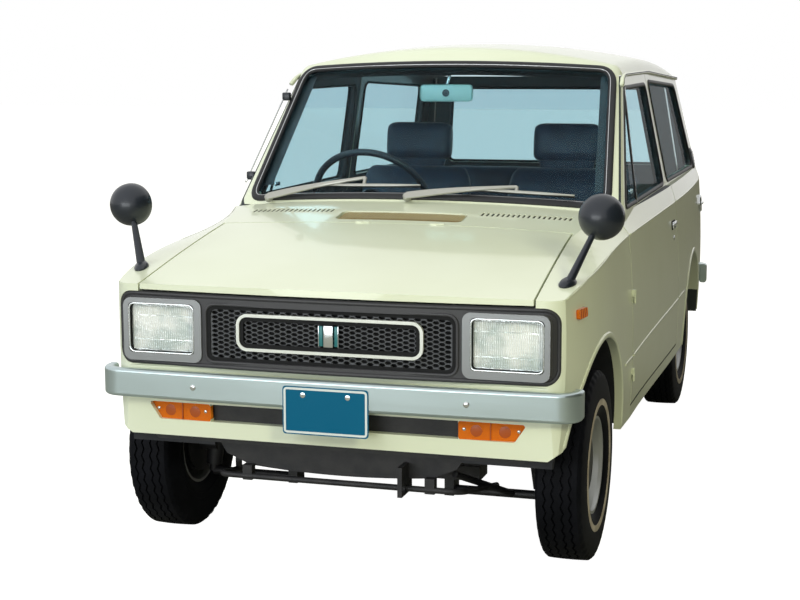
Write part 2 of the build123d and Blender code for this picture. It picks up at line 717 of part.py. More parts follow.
TAIL_LAMP_LOW = 560.0
TAIL_LAMP_HIGH = 768.0


def make_tail_lamp():
    """Left tail lamp on the tail corner."""
    block = front_block(rectangle((528, TAIL_LAMP_LOW), (592, TAIL_LAMP_HIGH)), 1300, 1600, 8)
    proud = cut_away(lower_form(-14), lower_outer)
    return keep_inside(proud, block)


# ---------------------------------------------------------------- bumpers and plates
def make_bumper(face_y, wrap_y, half, low, sign):
    """Round-edged bar across one end of the car, its tips wrapped round the corners. sign is -1 at the nose."""
    bow, corner_r = 14.0, 58.0
    corner_x = half - corner_r
    with BuildPart() as bar:
        with BuildSketch(Plane.XY.offset(low)):
            for grow, mode in ((0.0, Mode.ADD), (BUMPER_DEPTH, Mode.SUBTRACT)):
                y = face_y - sign * grow
                r = corner_r - grow
                with BuildLine():
                    ThreePointArc((-corner_x, y - sign * bow), (0, y), (corner_x, y - sign * bow))
                    for s in (-1, 1):
                        heel = (s * corner_x, y - sign * bow)
                        bend = (s * (corner_x + r * math.sqrt(0.5)), y - sign * (bow + r - r * math.sqrt(0.5)))
                        side = (s * (corner_x + r), y - sign * (bow + r))
                        ThreePointArc(heel, bend, side)
                        Line(side, (s * (corner_x + r), wrap_y))
                    Line((-corner_x - r, wrap_y), (corner_x + r, wrap_y))
                make_face(mode=mode)
        extrude(amount=BUMPER_HEIGHT)
        fillet(bar.edges().filter_by(Axis.Z, reverse=True).filter_by(lambda e: e.length > 60), 9)
    return bar.part


def with_irons(bumper, y_bumper, y_body, low):
    """The bumper with its two short irons, which end on the body."""
    with BuildPart() as irons:
        for s in (-1, 1):
            with Locations((s * IRON_X, (y_bumper + y_body) / 2, low + BUMPER_HEIGHT / 2)):
                Box(34, abs(y_body - y_bumper), 24)
    return joined(bumper, cut_away(irons.part, outer))


def make_plate(y_face, z_low, sign):
    """Blank number plate with round corners."""
    with BuildPart() as plate:
        with BuildSketch(Plane.XZ.offset(-y_face)):
            with Locations((0, z_low + PLATE_HEIGHT / 2)):
                RectangleRounded(PLATE_WIDTH, PLATE_HEIGHT, 8)
        extrude(amount=sign * PLATE_THICK)
    return plate.part



# ---------------------------------------------------------------- floor and running gear
TUB_SKIN = 14.0
TUNNEL_HALF = 105.0
TUNNEL_HIGH = 392.0
STEP_Y = 500.0
cabin_lining = keep_inside(lower_form(DOOR_WALL + FIT_GAP), box_between((-WHOLE, BULKHEAD_Y, 0), (WHOLE, WHOLE, 800)))
nose_lining = keep_inside(lower_form(FENDER_WALL + FIT_GAP), box_between((-WHOLE, -WHOLE, 0), (WHOLE, BULKHEAD_Y, WHOLE)))


def wheel_tub(axle_y, inner_x, skin_radius):
    """Closed arch over one wheel: a half drum with an inner side plate, open below and outside."""
    with BuildPart() as tub:
        with BuildSketch(Plane.YZ.offset(inner_x)):
            with Locations((axle_y, ARCH_Z)):
                Circle(skin_radius)
        extrude(amount=SIDE_OUT - inner_x)
    return tub.part


def make_floor():
    """Cabin floor with its tunnel, the step up to the load floor, the bulkhead and the rear wheel tubs."""
    low, high = FLOOR_Z + FLOOR_THICK, LOAD_FLOOR_Z
    tunnel = joined(box_between((-TUNNEL_HALF, BULKHEAD_Y, low), (TUNNEL_HALF, STEP_Y + 1, TUNNEL_HIGH)))
    tunnel_hollow = box_between((-TUNNEL_HALF + 14, BULKHEAD_Y - 40, 0), (TUNNEL_HALF - 14, STEP_Y + 30, TUNNEL_HIGH - 14))
    slab = joined(
        box_between((-WHOLE, BULKHEAD_Y, low), (WHOLE, STEP_Y, low + FLOOR_THICK)),
        box_between((-WHOLE, STEP_Y, low), (WHOLE, STEP_Y + FLOOR_THICK, high)),
        box_between((-WHOLE, STEP_Y, high - FLOOR_THICK), (WHOLE, TAIL_Y - DOOR_WALL - 3, high)),
        tunnel,
    )
    drum = wheel_tub(REAR_AXLE_Y, 426, ARCH_R + TUB_SKIN)
    hollow = wheel_tub(REAR_AXLE_Y, 426 + TUB_SKIN, ARCH_R)
    above_sill = box_between((-WHOLE, -WHOLE, low), (WHOLE, WHOLE, WHOLE))
    tub = keep_inside(cut_away(drum, hollow), cabin_lining, above_sill)
    shell = cut_away(keep_inside(slab, cabin_lining), tunnel_hollow, drum, mirrored(drum))
    bulkhead = keep_inside(nose_lining, box_between((-WHOLE, BULKHEAD_Y - 20, low), (WHOLE, BULKHEAD_Y, WHOLE)))
    bulkhead = cut_away(bulkhead, tunnel_hollow)
    return joined(shell, tub, mirrored(tub), bulkhead)


def make_aprons():
    """Inner wings: the closed arches over the front wheels and the walls of the engine bay."""
    low = 300.0
    inner_x = APRON_X - TUB_SKIN
    drum = wheel_tub(FRONT_AXLE_Y, inner_x, FRONT_ARCH_R + TUB_SKIN)
    hollow = wheel_tub(FRONT_AXLE_Y, APRON_X, FRONT_ARCH_R)
    reach = box_between((0, NOSE_Y + 55, low), (WHOLE, BULKHEAD_Y - 20 - FIT_GAP, WHOLE))
    wall = box_between((inner_x, NOSE_Y + 55, low), (APRON_X, BULKHEAD_Y - 20 - FIT_GAP, 660))
    left = keep_inside(joined(cut_away(drum, hollow), cut_away(wall, hollow)), nose_lining, reach)
    return both_sides(left)


KINGPIN_FOOT = (478.0, FRONT_AXLE_Y, 180.0)
KINGPIN_HEAD = (424.0, FRONT_AXLE_Y, 560.0)
WHEEL_X = FRONT_TRACK / 2
REAR_WHEEL_X = REAR_TRACK / 2
SPINDLE_R = 14.0
RUNNING_GAP = 0.05
DRUM_R = 98.0
DRUM_IN = 46.0


def make_wheel(x, y, side):
    """Pressed-steel wheel with its brake drum: rim barrel, dished disc and hub bored for the spindle."""
    half, flange = RIM_WIDTH / 2, 9.0
    profile = [
        (-half, RIM_R - 4), (-half, RIM_R + flange), (-half + 4, RIM_R + flange), (-half + 8, RIM_R), (half - 8, RIM_R),
        (half - 4, RIM_R + flange), (half, RIM_R + flange), (half, RIM_R - 4), (half - 10, RIM_R - 8),
        (24, RIM_R - 12), (22, 92), (34, 76), (32, 44), (36, 40), (36, 14 + RUNNING_GAP), (-DRUM_IN, 14 + RUNNING_GAP),
        (-DRUM_IN, DRUM_R - 8), (-DRUM_IN + 2, DRUM_R), (0, DRUM_R), (4, 84), (14, 84), (14, RIM_R - 12),
        (-half + 10, RIM_R - 8),
    ]
    with BuildPart() as wheel:
        with BuildSketch(Plane.XY):
            with BuildLine():
                Polyline(*[(side * a, r) for a, r in profile], close=True)
            make_face()
        revolve(axis=Axis.X)
    return wheel.part.moved(Location((x, y, AXLE_Z)))


def make_tyre(x, y, side):
    """Plain tyre on its rim: flat tread, bulged walls."""
    half, bead = TYRE_WIDTH / 2, RIM_WIDTH / 2 - 8
    with BuildPart() as tyre:
        with BuildSketch(Plane.XY):
            with BuildLine():
                Line((-bead, RIM_R), (bead, RIM_R))
                Line((bead, RIM_R), (bead + 4, RIM_R + 9))
                ThreePointArc((bead + 4, RIM_R + 9), (half, 190), (half - 14, TYRE_R - 10))
                Line((half - 14, TYRE_R - 10), (half - 26, TYRE_R - 1))
                ThreePointArc((half - 26, TYRE_R - 1), (0, TYRE_R), (26 - half, TYRE_R - 1))
                Line((26 - half, TYRE_R - 1), (14 - half, TYRE_R - 10))
                ThreePointArc((14 - half, TYRE_R - 10), (-half, 190), (-bead - 4, RIM_R + 9))
                Line((-bead - 4, RIM_R + 9), (-bead, RIM_R))
            make_face()
        revolve(axis=Axis.X)
    return tyre.part.moved(Location((x, y, AXLE_Z)))


def make_knuckle():
    """Left front upright: strut, spring seat, hub carrier and spindle."""
    inner = WHEEL_X - DRUM_IN - 6
    with BuildPart() as knuckle:
        add(tube(KINGPIN_FOOT, KINGPIN_HEAD, 23))
        way = (Vector(*KINGPIN_HEAD) - Vector(*KINGPIN_FOOT)).normalized()
        seat = Vector(*KINGPIN_FOOT) + way * 205
        add(tube(tuple(seat), tuple(seat + way * 6), 58))
        coil = seat + way * 6
        add(tube(tuple(coil), tuple(coil + way * 150), 46))
        add(tube((KINGPIN_FOOT[0] - 20, FRONT_AXLE_Y, AXLE_Z), (inner, FRONT_AXLE_Y, AXLE_Z), 36))
        add(tube((inner - 4, FRONT_AXLE_Y, AXLE_Z), (inner, FRONT_AXLE_Y, AXLE_Z), DRUM_R - 2))
        add(tube((inner, FRONT_AXLE_Y, AXLE_Z), (WHEEL_X + 34, FRONT_AXLE_Y, AXLE_Z), SPINDLE_R))
    return knuckle.part


def ball_joint(arm_z):
    """Pin that stands on the lower arm's end, in line with the strut and just below it."""
    way = (Vector(*KINGPIN_HEAD) - Vector(*KINGPIN_FOOT)).normalized()
    foot = Vector(*KINGPIN_FOOT)
    return tube(tuple(foot - way * (KINGPIN_FOOT[2] - arm_z)), tuple(foot - way * FIT_GAP), 12)


def make_front_suspension():
    """Crossmember under the nose, lower arms, tension rods and the stabiliser bar."""
    beam_y, beam_deep = -1356.0, 64.0
    end_x = APRON_X - TUB_SKIN - FIT_GAP
    arm_z, arm_r = 158.0, 12.0
    with BuildPart() as carrier:
        with BuildSketch(Plane.XZ.offset(-beam_y + beam_deep / 2)):
            with BuildLine():
                Polyline((-end_x, 318), (end_x, 318), (316, 290), (250, 262))
                ThreePointArc((250, 262), (0, 250), (-250, 262))
                Polyline((-250, 262), (-316, 290), (-end_x, 318))
            make_face()
        extrude(amount=-beam_deep)
    with BuildPart() as beam:
        add(box_between((-316, FRONT_AXLE_Y - 45, 196), (316, FRONT_AXLE_Y + 45, 236)))
        for s in (-1, 1):
            add(box_between((s * 290 - 26, FRONT_AXLE_Y - 40, 196), (s * 290 + 26, FRONT_AXLE_Y + 40, 300)))
    sheet_y, sheet_half = NOSE_Y + 46.7, 8.0
    with BuildPart() as sheet:
        with BuildSketch(Plane.XZ.offset(-sheet_y - sheet_half)):
            with BuildLine():
                Polyline((-520, 350), (-end_x, 350), (-end_x, 520), (end_x, 520), (end_x, 350), (520, 350), (470, 300), (316, 268))
                ThreePointArc((316, 268), (0, 258), (-316, 268))
                Polyline((-316, 268), (-470, 300), (-520, 350))
            make_face()
        extrude(amount=sheet_half)
    apron = keep_inside(sheet.part, nose_lining)
    arm = joined(tube((230, FRONT_AXLE_Y, arm_z), (KINGPIN_FOOT[0], FRONT_AXLE_Y, arm_z), arm_r),
                 ball_joint(arm_z))
    rod = tube((300, beam_y + 10, 266), (400, FRONT_AXLE_Y - 4, arm_z), 9)
    with BuildPart() as bar:
        with BuildLine():
            FilletPolyline((360, FRONT_AXLE_Y - 30, 186), (330, -1405, 236), (-330, -1405, 236),
                           (-360, FRONT_AXLE_Y - 30, 186), radius=40)
        with BuildSketch(Plane(origin=(360, FRONT_AXLE_Y - 30, 186), z_dir=(-30, -275, 50))):
            Circle(8)
        sweep()
        for s in (-1, 1):
            with Locations((s * 250, -1398, 246)):
                Box(26, 26, 40)
    eye_y, eye_z = NOSE_Y + 48, 242.0
    eye = cut_away(box_between((176, eye_y - 18, 222), (188, beam_y, 300)), tube((170, eye_y, eye_z), (194, eye_y, eye_z), 12))
    hanger = box_between((214, FRONT_AXLE_Y - 30, 146), (240, FRONT_AXLE_Y + 30, 200))
    return joined(apron, carrier.part, beam.part, arm, mirrored(arm), rod, mirrored(rod), hanger, mirrored(hanger), bar.part, eye)


def make_rear_axle():
    """Live axle with its differential, on two leaf springs with their hangers."""
    spring_x, leaf, half_width = 390.0, 7.0, 22.0
    ends = REAR_WHEEL_X - DRUM_IN - 2
    eye_front, eye_rear, eye_z, saddle_z = REAR_AXLE_Y - 420, REAR_AXLE_Y + 420, 262.0, AXLE_Z - 48
    bend_r = (420**2 + (eye_z - saddle_z) ** 2) / (2 * (eye_z - saddle_z))
    with BuildPart() as axle:
        add(tube((-ends, REAR_AXLE_Y, AXLE_Z), (ends, REAR_AXLE_Y, AXLE_Z), 30))
        add(tube((0, REAR_AXLE_Y - 62, AXLE_Z), (0, REAR_AXLE_Y + 62, AXLE_Z), 84))
        for s in (-1, 1):
            add(tube((s * (ends - 4), REAR_AXLE_Y, AXLE_Z), (s * ends, REAR_AXLE_Y, AXLE_Z), DRUM_R - 2))
            add(tube((s * ends, REAR_AXLE_Y, AXLE_Z), (s * (REAR_WHEEL_X + 34), REAR_AXLE_Y, AXLE_Z), SPINDLE_R))
    with BuildPart() as spring:
        with BuildSketch(Plane.YZ.offset(spring_x - half_width)):
            for count, reach in enumerate((420, 300, 190)):
                with BuildSketch(mode=Mode.PRIVATE) as band:
                    with Locations((REAR_AXLE_Y, saddle_z + bend_r)):
                        Circle(bend_r + leaf * (count + 1))
                        Circle(bend_r + leaf * count, mode=Mode.SUBTRACT)
                    with Locations((REAR_AXLE_Y, saddle_z)):
                        Rectangle(2 * reach, 400, mode=Mode.INTERSECT)
                add(band.sketch)
        extrude(amount=2 * half_width)
        add(box_between((spring_x - 24, REAR_AXLE_Y - 40, saddle_z - 26), (spring_x + 24, REAR_AXLE_Y + 40, AXLE_Z - 20)))
        add(box_between((spring_x - 24, eye_front - 22, eye_z - 20), (spring_x + 24, eye_front + 18, FLOOR_Z + FLOOR_THICK - FIT_GAP)))
        add(box_between((spring_x - 24, eye_rear - 14, eye_z - 20), (spring_x + 24, eye_rear + 14, LOAD_FLOOR_Z - FLOOR_THICK - FIT_GAP)))
    return joined(axle.part, spring.part, mirrored(spring.part))


def make_engine():
    """Engine and gearbox as plain blocks at their real place, with the prop shaft in the tunnel."""
    with BuildPart() as unit:
        with BuildSketch(Plane.XY.offset(236.3)):
            with Locations((0, -1122)):
                RectangleRounded(280, 390, 20)
        extrude(amount=380)
        add(box_between((-75, -930, 240), (75, -560, 372)))
        add(tube((0, -570, 300), (0, REAR_AXLE_Y - 62, 300), 20))
    return unit.part


def make_exhaust():
    """Pipe, silencer and tailpipe under the floor on the right side."""
    with BuildPart() as pipe:
        add(tube((-170, -900, 250), (-230, -600, 244), 17))
        add(tube((-230, -606, 244), (-230, 566, 244), 17))
        add(tube((-230, -100, 240), (-230, 340, 240), 44))
        add(tube((-230, 560, 244), (-300, 760, 358), 17))
        add(tube((-300, 754, 356), (-300, 1240, 356), 17))
        add(tube((-300, 1234, 356), (-300, 1376, 294), 17))
        add(tube((-300, 1370, 295), (-300, 1478, 290), 17))
    return pipe.part


# ---------------------------------------------------------------- cabin
SEAT_X = 267.0
SEAT_WIDTH = 440.0


def make_seat(x):
    """One front seat: cushion on its base, raked back and head restraint."""
    half = SEAT_WIDTH / 2
    base = box_between((x - half + 62, -270, FLOOR_Z + 2 * FLOOR_THICK), (x + half - 62, 120, 430))
    cushion = side_block([(-330, 404), (150, 400), (150, 500), (-300, 545)], x - half, x + half, 30)
    back = side_block([(95, 450), (215, 450), (322, 936), (244, 942)], x - half + 10, x + half - 10, 28)
    rest = side_block([(256, 962), (338, 958), (356, 1084), (276, 1092)], x - 118, x + 118, 26)
    posts = joined(*[box_between((x + s * 60 - 7, 288, 905), (x + s * 60 + 7, 302, 985)) for s in (-1, 1)])
    return joined(base, cushion, back, rest, posts)


def make_rear_seat():
    """Folding bench behind the front seats."""
    cushion = side_block([(560, 480), (960, 480), (960, 560), (560, 590)], -415, 415, 24)
    foot = box_between((-400, 580, LOAD_FLOOR_Z), (400, 940, 485))
    back = side_block([(900, 540), (985, 540), (1060, 890), (1000, 895)], -415, 415, 22)
    return joined(foot, cushion, back)


DASH_REAR_Y = -440.0
COLUMN_X = -250.0
COLUMN_LOW = Vector(COLUMN_X, -520.0, 738.0)
COLUMN_WAY = Vector(0, 0.86, 0.51).normalized()
STEERING_R = 190.0


def make_dashboard():
    """Padded panel across the cabin under the windscreen."""
    outline = [(BULKHEAD_Y, 690), (-560, 600), (DASH_REAR_Y, 640), (DASH_REAR_Y, 838), (-500, 862), (-650, 850),
               (BULKHEAD_Y, 838)]
    block = side_block(outline, -700, 700, 10)
    swing_y = DOOR_FRONT_Y + 57
    door_swing = top_block([(-562, -WHOLE), (562, -WHOLE), (562, swing_y), (574, swing_y + 4), (574, 0), (-574, 0),
                            (-574, swing_y + 4), (-562, swing_y)], 500, 1000)
    lining = keep_inside(joined(lower_form(DOOR_WALL + 8), glasshouse(CABIN_WALL + 8)), cabin_box)
    bore = tube(tuple(COLUMN_LOW - COLUMN_WAY * 200), tuple(COLUMN_LOW + COLUMN_WAY * 300), 16 + FIT_GAP)
    frame_y = DOOR_FRONT_Y + 84
    frame_swing = top_block([(546, -WHOLE), (700, -WHOLE), (700, frame_y + 16), (546, frame_y)], 820, 1000)
    return cut_away(keep_inside(block, lining, door_swing), bore, frame_swing, mirrored(frame_swing))


def make_steering_wheel():
    """Thin-rimmed wheel, two flat spokes and the column shaft."""
    centre = COLUMN_LOW + COLUMN_WAY * 250
    face = Plane(origin=centre, x_dir=(1, 0, 0), z_dir=COLUMN_WAY)
    with BuildPart() as wheel:
        with BuildSketch(Plane(origin=face.from_local_coords((STEERING_R, 0, 0)), x_dir=(1, 0, 0), z_dir=face.y_dir)):
            Circle(11)
        revolve(axis=Axis(centre, COLUMN_WAY))
        with BuildSketch(face.offset(-4)):
            Rectangle(2 * STEERING_R - 6, 30)
            Circle(46)
        extrude(amount=8)
        add(tube(tuple(COLUMN_LOW - COLUMN_WAY * 60), tuple(centre), 16))
    return wheel.part


# ---------------------------------------------------------------- mirrors, wipers and aerial
MIRROR_BASE = (581.0, -1324.0, 762.0)
MIRROR_HEAD = (651.0, -1240.0, 931.0)


MIRROR_R = 59.0
MIRROR_RIM = 16.0
MIRROR_DEEP = 54.0


def make_mirror():
    """Left fender mirror: bullet head on a tapered stalk with an oval foot."""
    foot, head = Vector(*MIRROR_BASE), Vector(*MIRROR_HEAD)
    way = (head - foot).normalized()
    with BuildPart() as mirror_piece:
        with BuildSketch(Plane.XY):
            with BuildLine():
                Line((0, MIRROR_RIM), (MIRROR_R - 4, MIRROR_RIM))
                ThreePointArc((MIRROR_R - 4, MIRROR_RIM), (MIRROR_R, 4), (MIRROR_R - 3, -8))
                ThreePointArc((MIRROR_R - 3, -8), (MIRROR_R * 0.66, -MIRROR_DEEP * 0.74), (0, -MIRROR_DEEP))
                Line((0, -MIRROR_DEEP), (0, MIRROR_RIM))
            make_face()
        revolve(axis=Axis.Y)
    with BuildPart() as stalk:
        with BuildSketch(Plane(origin=foot, z_dir=way)) as low:
            Ellipse(8, 12)
        with BuildSketch(Plane(origin=foot + way * ((head - foot).length - 38), z_dir=way)) as high:
            Ellipse(6, 8)
        loft([low.sketch, high.sketch])
        with BuildSketch(Plane(origin=foot, z_dir=(0.2, 0, 1))):
            Ellipse(17, 34)
        extrude(amount=14)
    return cut_away(joined(mirror_piece.part.moved(Location(head)), stalk.part), lower_outer)


# Wipers, parked across the foot of the windscreen. Each is pivot, elbow and the blade's two ends as (x, y, z).
WIPERS = [
    ((-485.0, -630.0, 900.0), (-177.0, -606.0, 966.0), (-326.0, -612.0, 940.0), (4.0, -632.0, 947.0)),
    ((-30.0, -666.0, 916.0), (293.0, -611.0, 948.0), (128.0, -632.0, 941.0), (463.0, -604.0, 924.0)),
]
ARM_R = 4.5
BLADE_R = 3.6


def make_wipers():
    """Two parked wipers: pivot, arm and blade."""
    with BuildPart() as wipers:
        for pivot, elbow, blade_from, blade_to in WIPERS:
            foot = (pivot[0], pivot[1] - 3, pivot[2] - 34)
            add(tube(foot, (pivot[0], pivot[1] - 3, pivot[2] + 4), 10))
            add(tube(pivot, elbow, ARM_R))
            share = (elbow[0] - blade_from[0]) / (blade_to[0] - blade_from[0])
            hold = tuple(a + share * (b - a) for a, b in zip(blade_from, blade_to))
            add(tube(elbow, hold, ARM_R))
            add(tube(blade_from, blade_to, BLADE_R))
    return cut_away(wipers.part, outer)


# ---------------------------------------------------------------- every piece, written out
left_door, left_door_glass = make_door(), keep_inside(glass_shell, door_window)
left_knuckle = make_knuckle()
plates = joined(make_plate(FRONT_END_Y + PLATE_THICK, PLATE_LOW, 1), make_plate(REAR_END_Y, REAR_PLATE_LOW, 1))
front_face_y = FRONT_END_Y + PLATE_THICK + FIT_GAP
front_bar = make_bumper(front_face_y, -1405, BUMPER_HALF, BUMPER_LOW, -1)
front_bumper = with_irons(front_bar, front_face_y + BUMPER_DEPTH - 8, NOSE_Y + 40, BUMPER_LOW)
rear_face_y = REAR_END_Y - PLATE_THICK - FIT_GAP
rear_bar = make_bumper(rear_face_y, 1400, REAR_BUMPER_HALF, REAR_BUMPER_LOW, 1)
rear_bumper = with_irons(rear_bar, rear_face_y - BUMPER_DEPTH + 8, TAIL_Y - 16, REAR_BUMPER_LOW)
PIECES = {
    "bonnet": make_bonnet(),
    "fenders": both_sides(make_fenders()),
    "quarter_panels": both_sides(make_quarter()),
    "cowl_panel": make_cowl(),
    "roof_panel": make_roof(),
    "front_valance": make_valance(),
    "tail_panel": make_tail_panel(),
    "door_left": left_door,
    "door_right": mirrored(left_door),
    "tailgate": make_tailgate(),
    "windscreen": keep_inside(glass_shell, screen_block),
    "door_glass_left": left_door_glass,
    "door_glass_right": mirrored(left_door_glass),
    "quarter_glass": both_sides(keep_inside(glass_shell, quarter_window)),
    "tailgate_glass": keep_inside(glass_shell, gate_window),
    "grille_panel": make_grille_panel(),
    "grille": make_grille(),
    "grille_ring": make_grille_ring(),
    "headlamp_bezels": both_sides(make_headlamp_bezel()),
    "headlamp_lenses": both_sides(make_headlamp_lens()),
    "amber_lamps": both_sides(joined(make_turn_lamp(), make_side_marker())),
    "tail_lamps": both_sides(make_tail_lamp()),
    "front_bumper": front_bumper,
    "rear_bumper": rear_bumper,
    "number_plates": plates,
    "floor_pan": make_floor(),
    "inner_wings": make_aprons(),
    "knuckle_left": left_knuckle,
    "knuckle_right": mirrored(left_knuckle),
    "front_suspension": make_front_suspension(),
    "rear_axle": make_rear_axle(),
    "engine": make_engine(),
    "exhaust": make_exhaust(),
    "front_seats": joined(make_seat(SEAT_X), make_seat(-SEAT_X)),
    "rear_seat": make_rear_seat(),
    "dashboard": make_dashboard(),
    "steering_wheel": make_steering_wheel(),
    "fender_mirrors": both_sides(make_mirror()),
    "wipers": make_wipers(),
}
for end, axle_y, track_x in (("front", FRONT_AXLE_Y, WHEEL_X), ("rear", REAR_AXLE_Y, REAR_WHEEL_X)):
    for hand, side in (("left", 1), ("right", -1)):
        PIECES[f"wheel_{end}_{hand}"] = make_wheel(side * track_x, axle_y, side)
        PIECES[f"tyre_{end}_{hand}"] = make_tyre(side * track_x, axle_y, side)
for piece_name, finished in PIECES.items():
    save(finished, piece_name)
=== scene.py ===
"""Looks of the small kei car with a van tail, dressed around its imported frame. Metres, nose towards -Y."""
import json
import math

import bmesh
import bpy
from mathutils import Matrix, Vector
from mathutils.bvhtree import BVHTree


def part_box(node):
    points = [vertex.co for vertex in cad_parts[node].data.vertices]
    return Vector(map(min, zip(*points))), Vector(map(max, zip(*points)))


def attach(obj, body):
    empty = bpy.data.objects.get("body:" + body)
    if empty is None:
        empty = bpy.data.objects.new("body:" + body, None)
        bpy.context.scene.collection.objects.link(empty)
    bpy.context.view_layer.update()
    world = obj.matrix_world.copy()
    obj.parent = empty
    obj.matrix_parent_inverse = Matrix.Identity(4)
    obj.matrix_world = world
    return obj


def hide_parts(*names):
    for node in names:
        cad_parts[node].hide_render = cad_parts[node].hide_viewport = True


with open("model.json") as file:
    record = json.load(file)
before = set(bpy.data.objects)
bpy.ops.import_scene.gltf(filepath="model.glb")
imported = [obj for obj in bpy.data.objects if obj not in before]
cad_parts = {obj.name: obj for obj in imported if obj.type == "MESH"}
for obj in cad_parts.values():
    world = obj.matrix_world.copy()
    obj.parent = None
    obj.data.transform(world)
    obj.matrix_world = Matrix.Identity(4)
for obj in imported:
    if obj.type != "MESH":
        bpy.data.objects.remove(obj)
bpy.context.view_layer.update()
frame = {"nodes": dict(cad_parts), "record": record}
NODES = frame["nodes"]
HANDS = (("left", 1), ("right", -1))


# ---------------------------------------------------------------- camera
CAMERA_AT = Vector((1.339, -5.2985, 1.355))
CAMERA_YAW = math.radians(17.58)
CAMERA_PITCH = math.radians(8.67)
CAMERA_ROLL = math.radians(-0.26)
FOCAL_PIXELS = 1628.3
CENTRE_PIXEL = (375.2, 295.9)
PICTURE = (800, 600)
SENSOR_MM = 36


def make_camera():
    yaw, pitch, roll = CAMERA_YAW, CAMERA_PITCH, CAMERA_ROLL
    forward = Vector((-math.sin(yaw) * math.cos(pitch), math.cos(yaw) * math.cos(pitch), -math.sin(pitch)))
    level = Vector((math.cos(yaw), math.sin(yaw), 0))
    upright = level.cross(forward)
    right = math.cos(roll) * level + math.sin(roll) * upright
    up = -math.sin(roll) * level + math.cos(roll) * upright
    data = bpy.data.cameras.new("camera")
    data.sensor_width = SENSOR_MM
    data.lens = SENSOR_MM * FOCAL_PIXELS / PICTURE[0]
    data.shift_x = (PICTURE[0] / 2 - CENTRE_PIXEL[0]) / PICTURE[0]
    data.shift_y = (CENTRE_PIXEL[1] - PICTURE[1] / 2) / PICTURE[0]
    camera = bpy.data.objects.new("camera", data)
    camera.matrix_world = Matrix.Translation(CAMERA_AT) @ Matrix((right, up, -forward)).transposed().to_4x4()
    bpy.context.scene.collection.objects.link(camera)
    bpy.context.scene.camera = camera


# ---------------------------------------------------------------- materials
def srgb(r, g, b):
    """Linear colour of an 8-bit sRGB value."""
    def one(c):
        c /= 255
        return c / 12.92 if c <= 0.04045 else ((c + 0.055) / 1.055) ** 2.4
    return (one(r), one(g), one(b), 1.0)


def add_node(tree, kind, inputs=None, output=0, **values):
    """Output of a new node. Each input, by name or number, takes a value or the link from another output."""
    node = tree.nodes.new(kind)
    for name, value in values.items():
        setattr(node, name, value)
    for key, value in (inputs or {}).items():
        if isinstance(value, bpy.types.NodeSocket):
            tree.links.new(value, node.inputs[key])
        else:
            node.inputs[key].default_value = value
    return node.outputs[output]


class Finish:
    """A node material around one Principled shader, whose sockets are set by name with _ for a space."""

    def __init__(self, name, colour, roughness, **sockets):
        self.material = bpy.data.materials.new(name)
        self.material.use_nodes = True
        self.tree = self.material.node_tree
        self.shader = self.tree.nodes["Principled BSDF"]
        for socket, value in {"Base Color": colour, "Roughness": roughness, **sockets}.items():
            self.shader.inputs[socket.replace("_", " ")].default_value = value
        self.place = self.add("ShaderNodeTexCoord", output="Object")

    def add(self, kind, inputs=None, output=0, **values):
        return add_node(self.tree, kind, inputs, output, **values)

    def set(self, socket, source):
        self.tree.links.new(source, self.shader.inputs[socket])

    def pattern(self, scale, detail, stretch=(1, 1, 1)):
        """Noise, or waves where detail is the letter of their axis."""
        if detail in ("X", "Z"):
            return self.add("ShaderNodeTexWave", {"Vector": self.place, "Scale": scale}, "Fac", bands_direction=detail)
        place = self.add("ShaderNodeMapping", {"Vector": self.place, "Scale": stretch})
        return self.add("ShaderNodeTexNoise", {"Vector": place, "Scale": scale, "Detail": detail}, "Fac")

    def ramp(self, factor, low, high, start=0.35, end=0.65):
        colour = self.add("ShaderNodeValToRGB", {"Fac": factor}, "Color")
        for stop, position, stop_colour in zip(colour.node.color_ramp.elements, (start, end), (low, high)):
            stop.position, stop.color = position, stop_colour
        return colour

    def bump(self, height, strength, distance):
        self.set("Normal", self.add("ShaderNodeBump", {"Height": height, "Strength": strength, "Distance": distance}))


CREAM = srgb(226, 232, 212)
CREAM_SHADE = srgb(220, 226, 203)
TRIM_GREY = srgb(62, 68, 70)
CABIN_MIDDLE = Vector((0, 0.35, 0.80))
# A face looks inward where its normal, times the way to it from the cabin's middle with y shortened, is below a level.
CABIN_FLATTEN = (1, 0.45, 1)
INWARD_LEVEL = -0.18


def paint(name, lined):
    """Gloss enamel. Where it is lined, the faces that look into the cabin are trim instead."""
    finish = Finish(name, CREAM, 0.3, Coat_Weight=0.6, Coat_Roughness=0.06)
    colour = finish.ramp(finish.pattern(2.2, 3), CREAM, CREAM_SHADE)
    if lined:
        outward = finish.add("ShaderNodeVectorMath", {0: finish.place, 1: CABIN_MIDDLE}, operation="SUBTRACT")
        flat = finish.add("ShaderNodeVectorMath", {0: outward, 1: CABIN_FLATTEN}, operation="MULTIPLY")
        normal = finish.add("ShaderNodeTexCoord", output="Normal")
        facing = finish.add("ShaderNodeVectorMath", {0: flat, 1: normal}, "Value", operation="DOT_PRODUCT")
        inside = finish.add("ShaderNodeMath", {0: facing, 1: INWARD_LEVEL}, operation="LESS_THAN")
        colour = finish.add("ShaderNodeMix", {"Factor": inside, "A": colour, "B": TRIM_GREY}, "Result",
                            data_type="RGBA")
    finish.set("Base Color", colour)
    finish.bump(finish.pattern(900, 1), 0.03, 0.0004)
    return finish.material


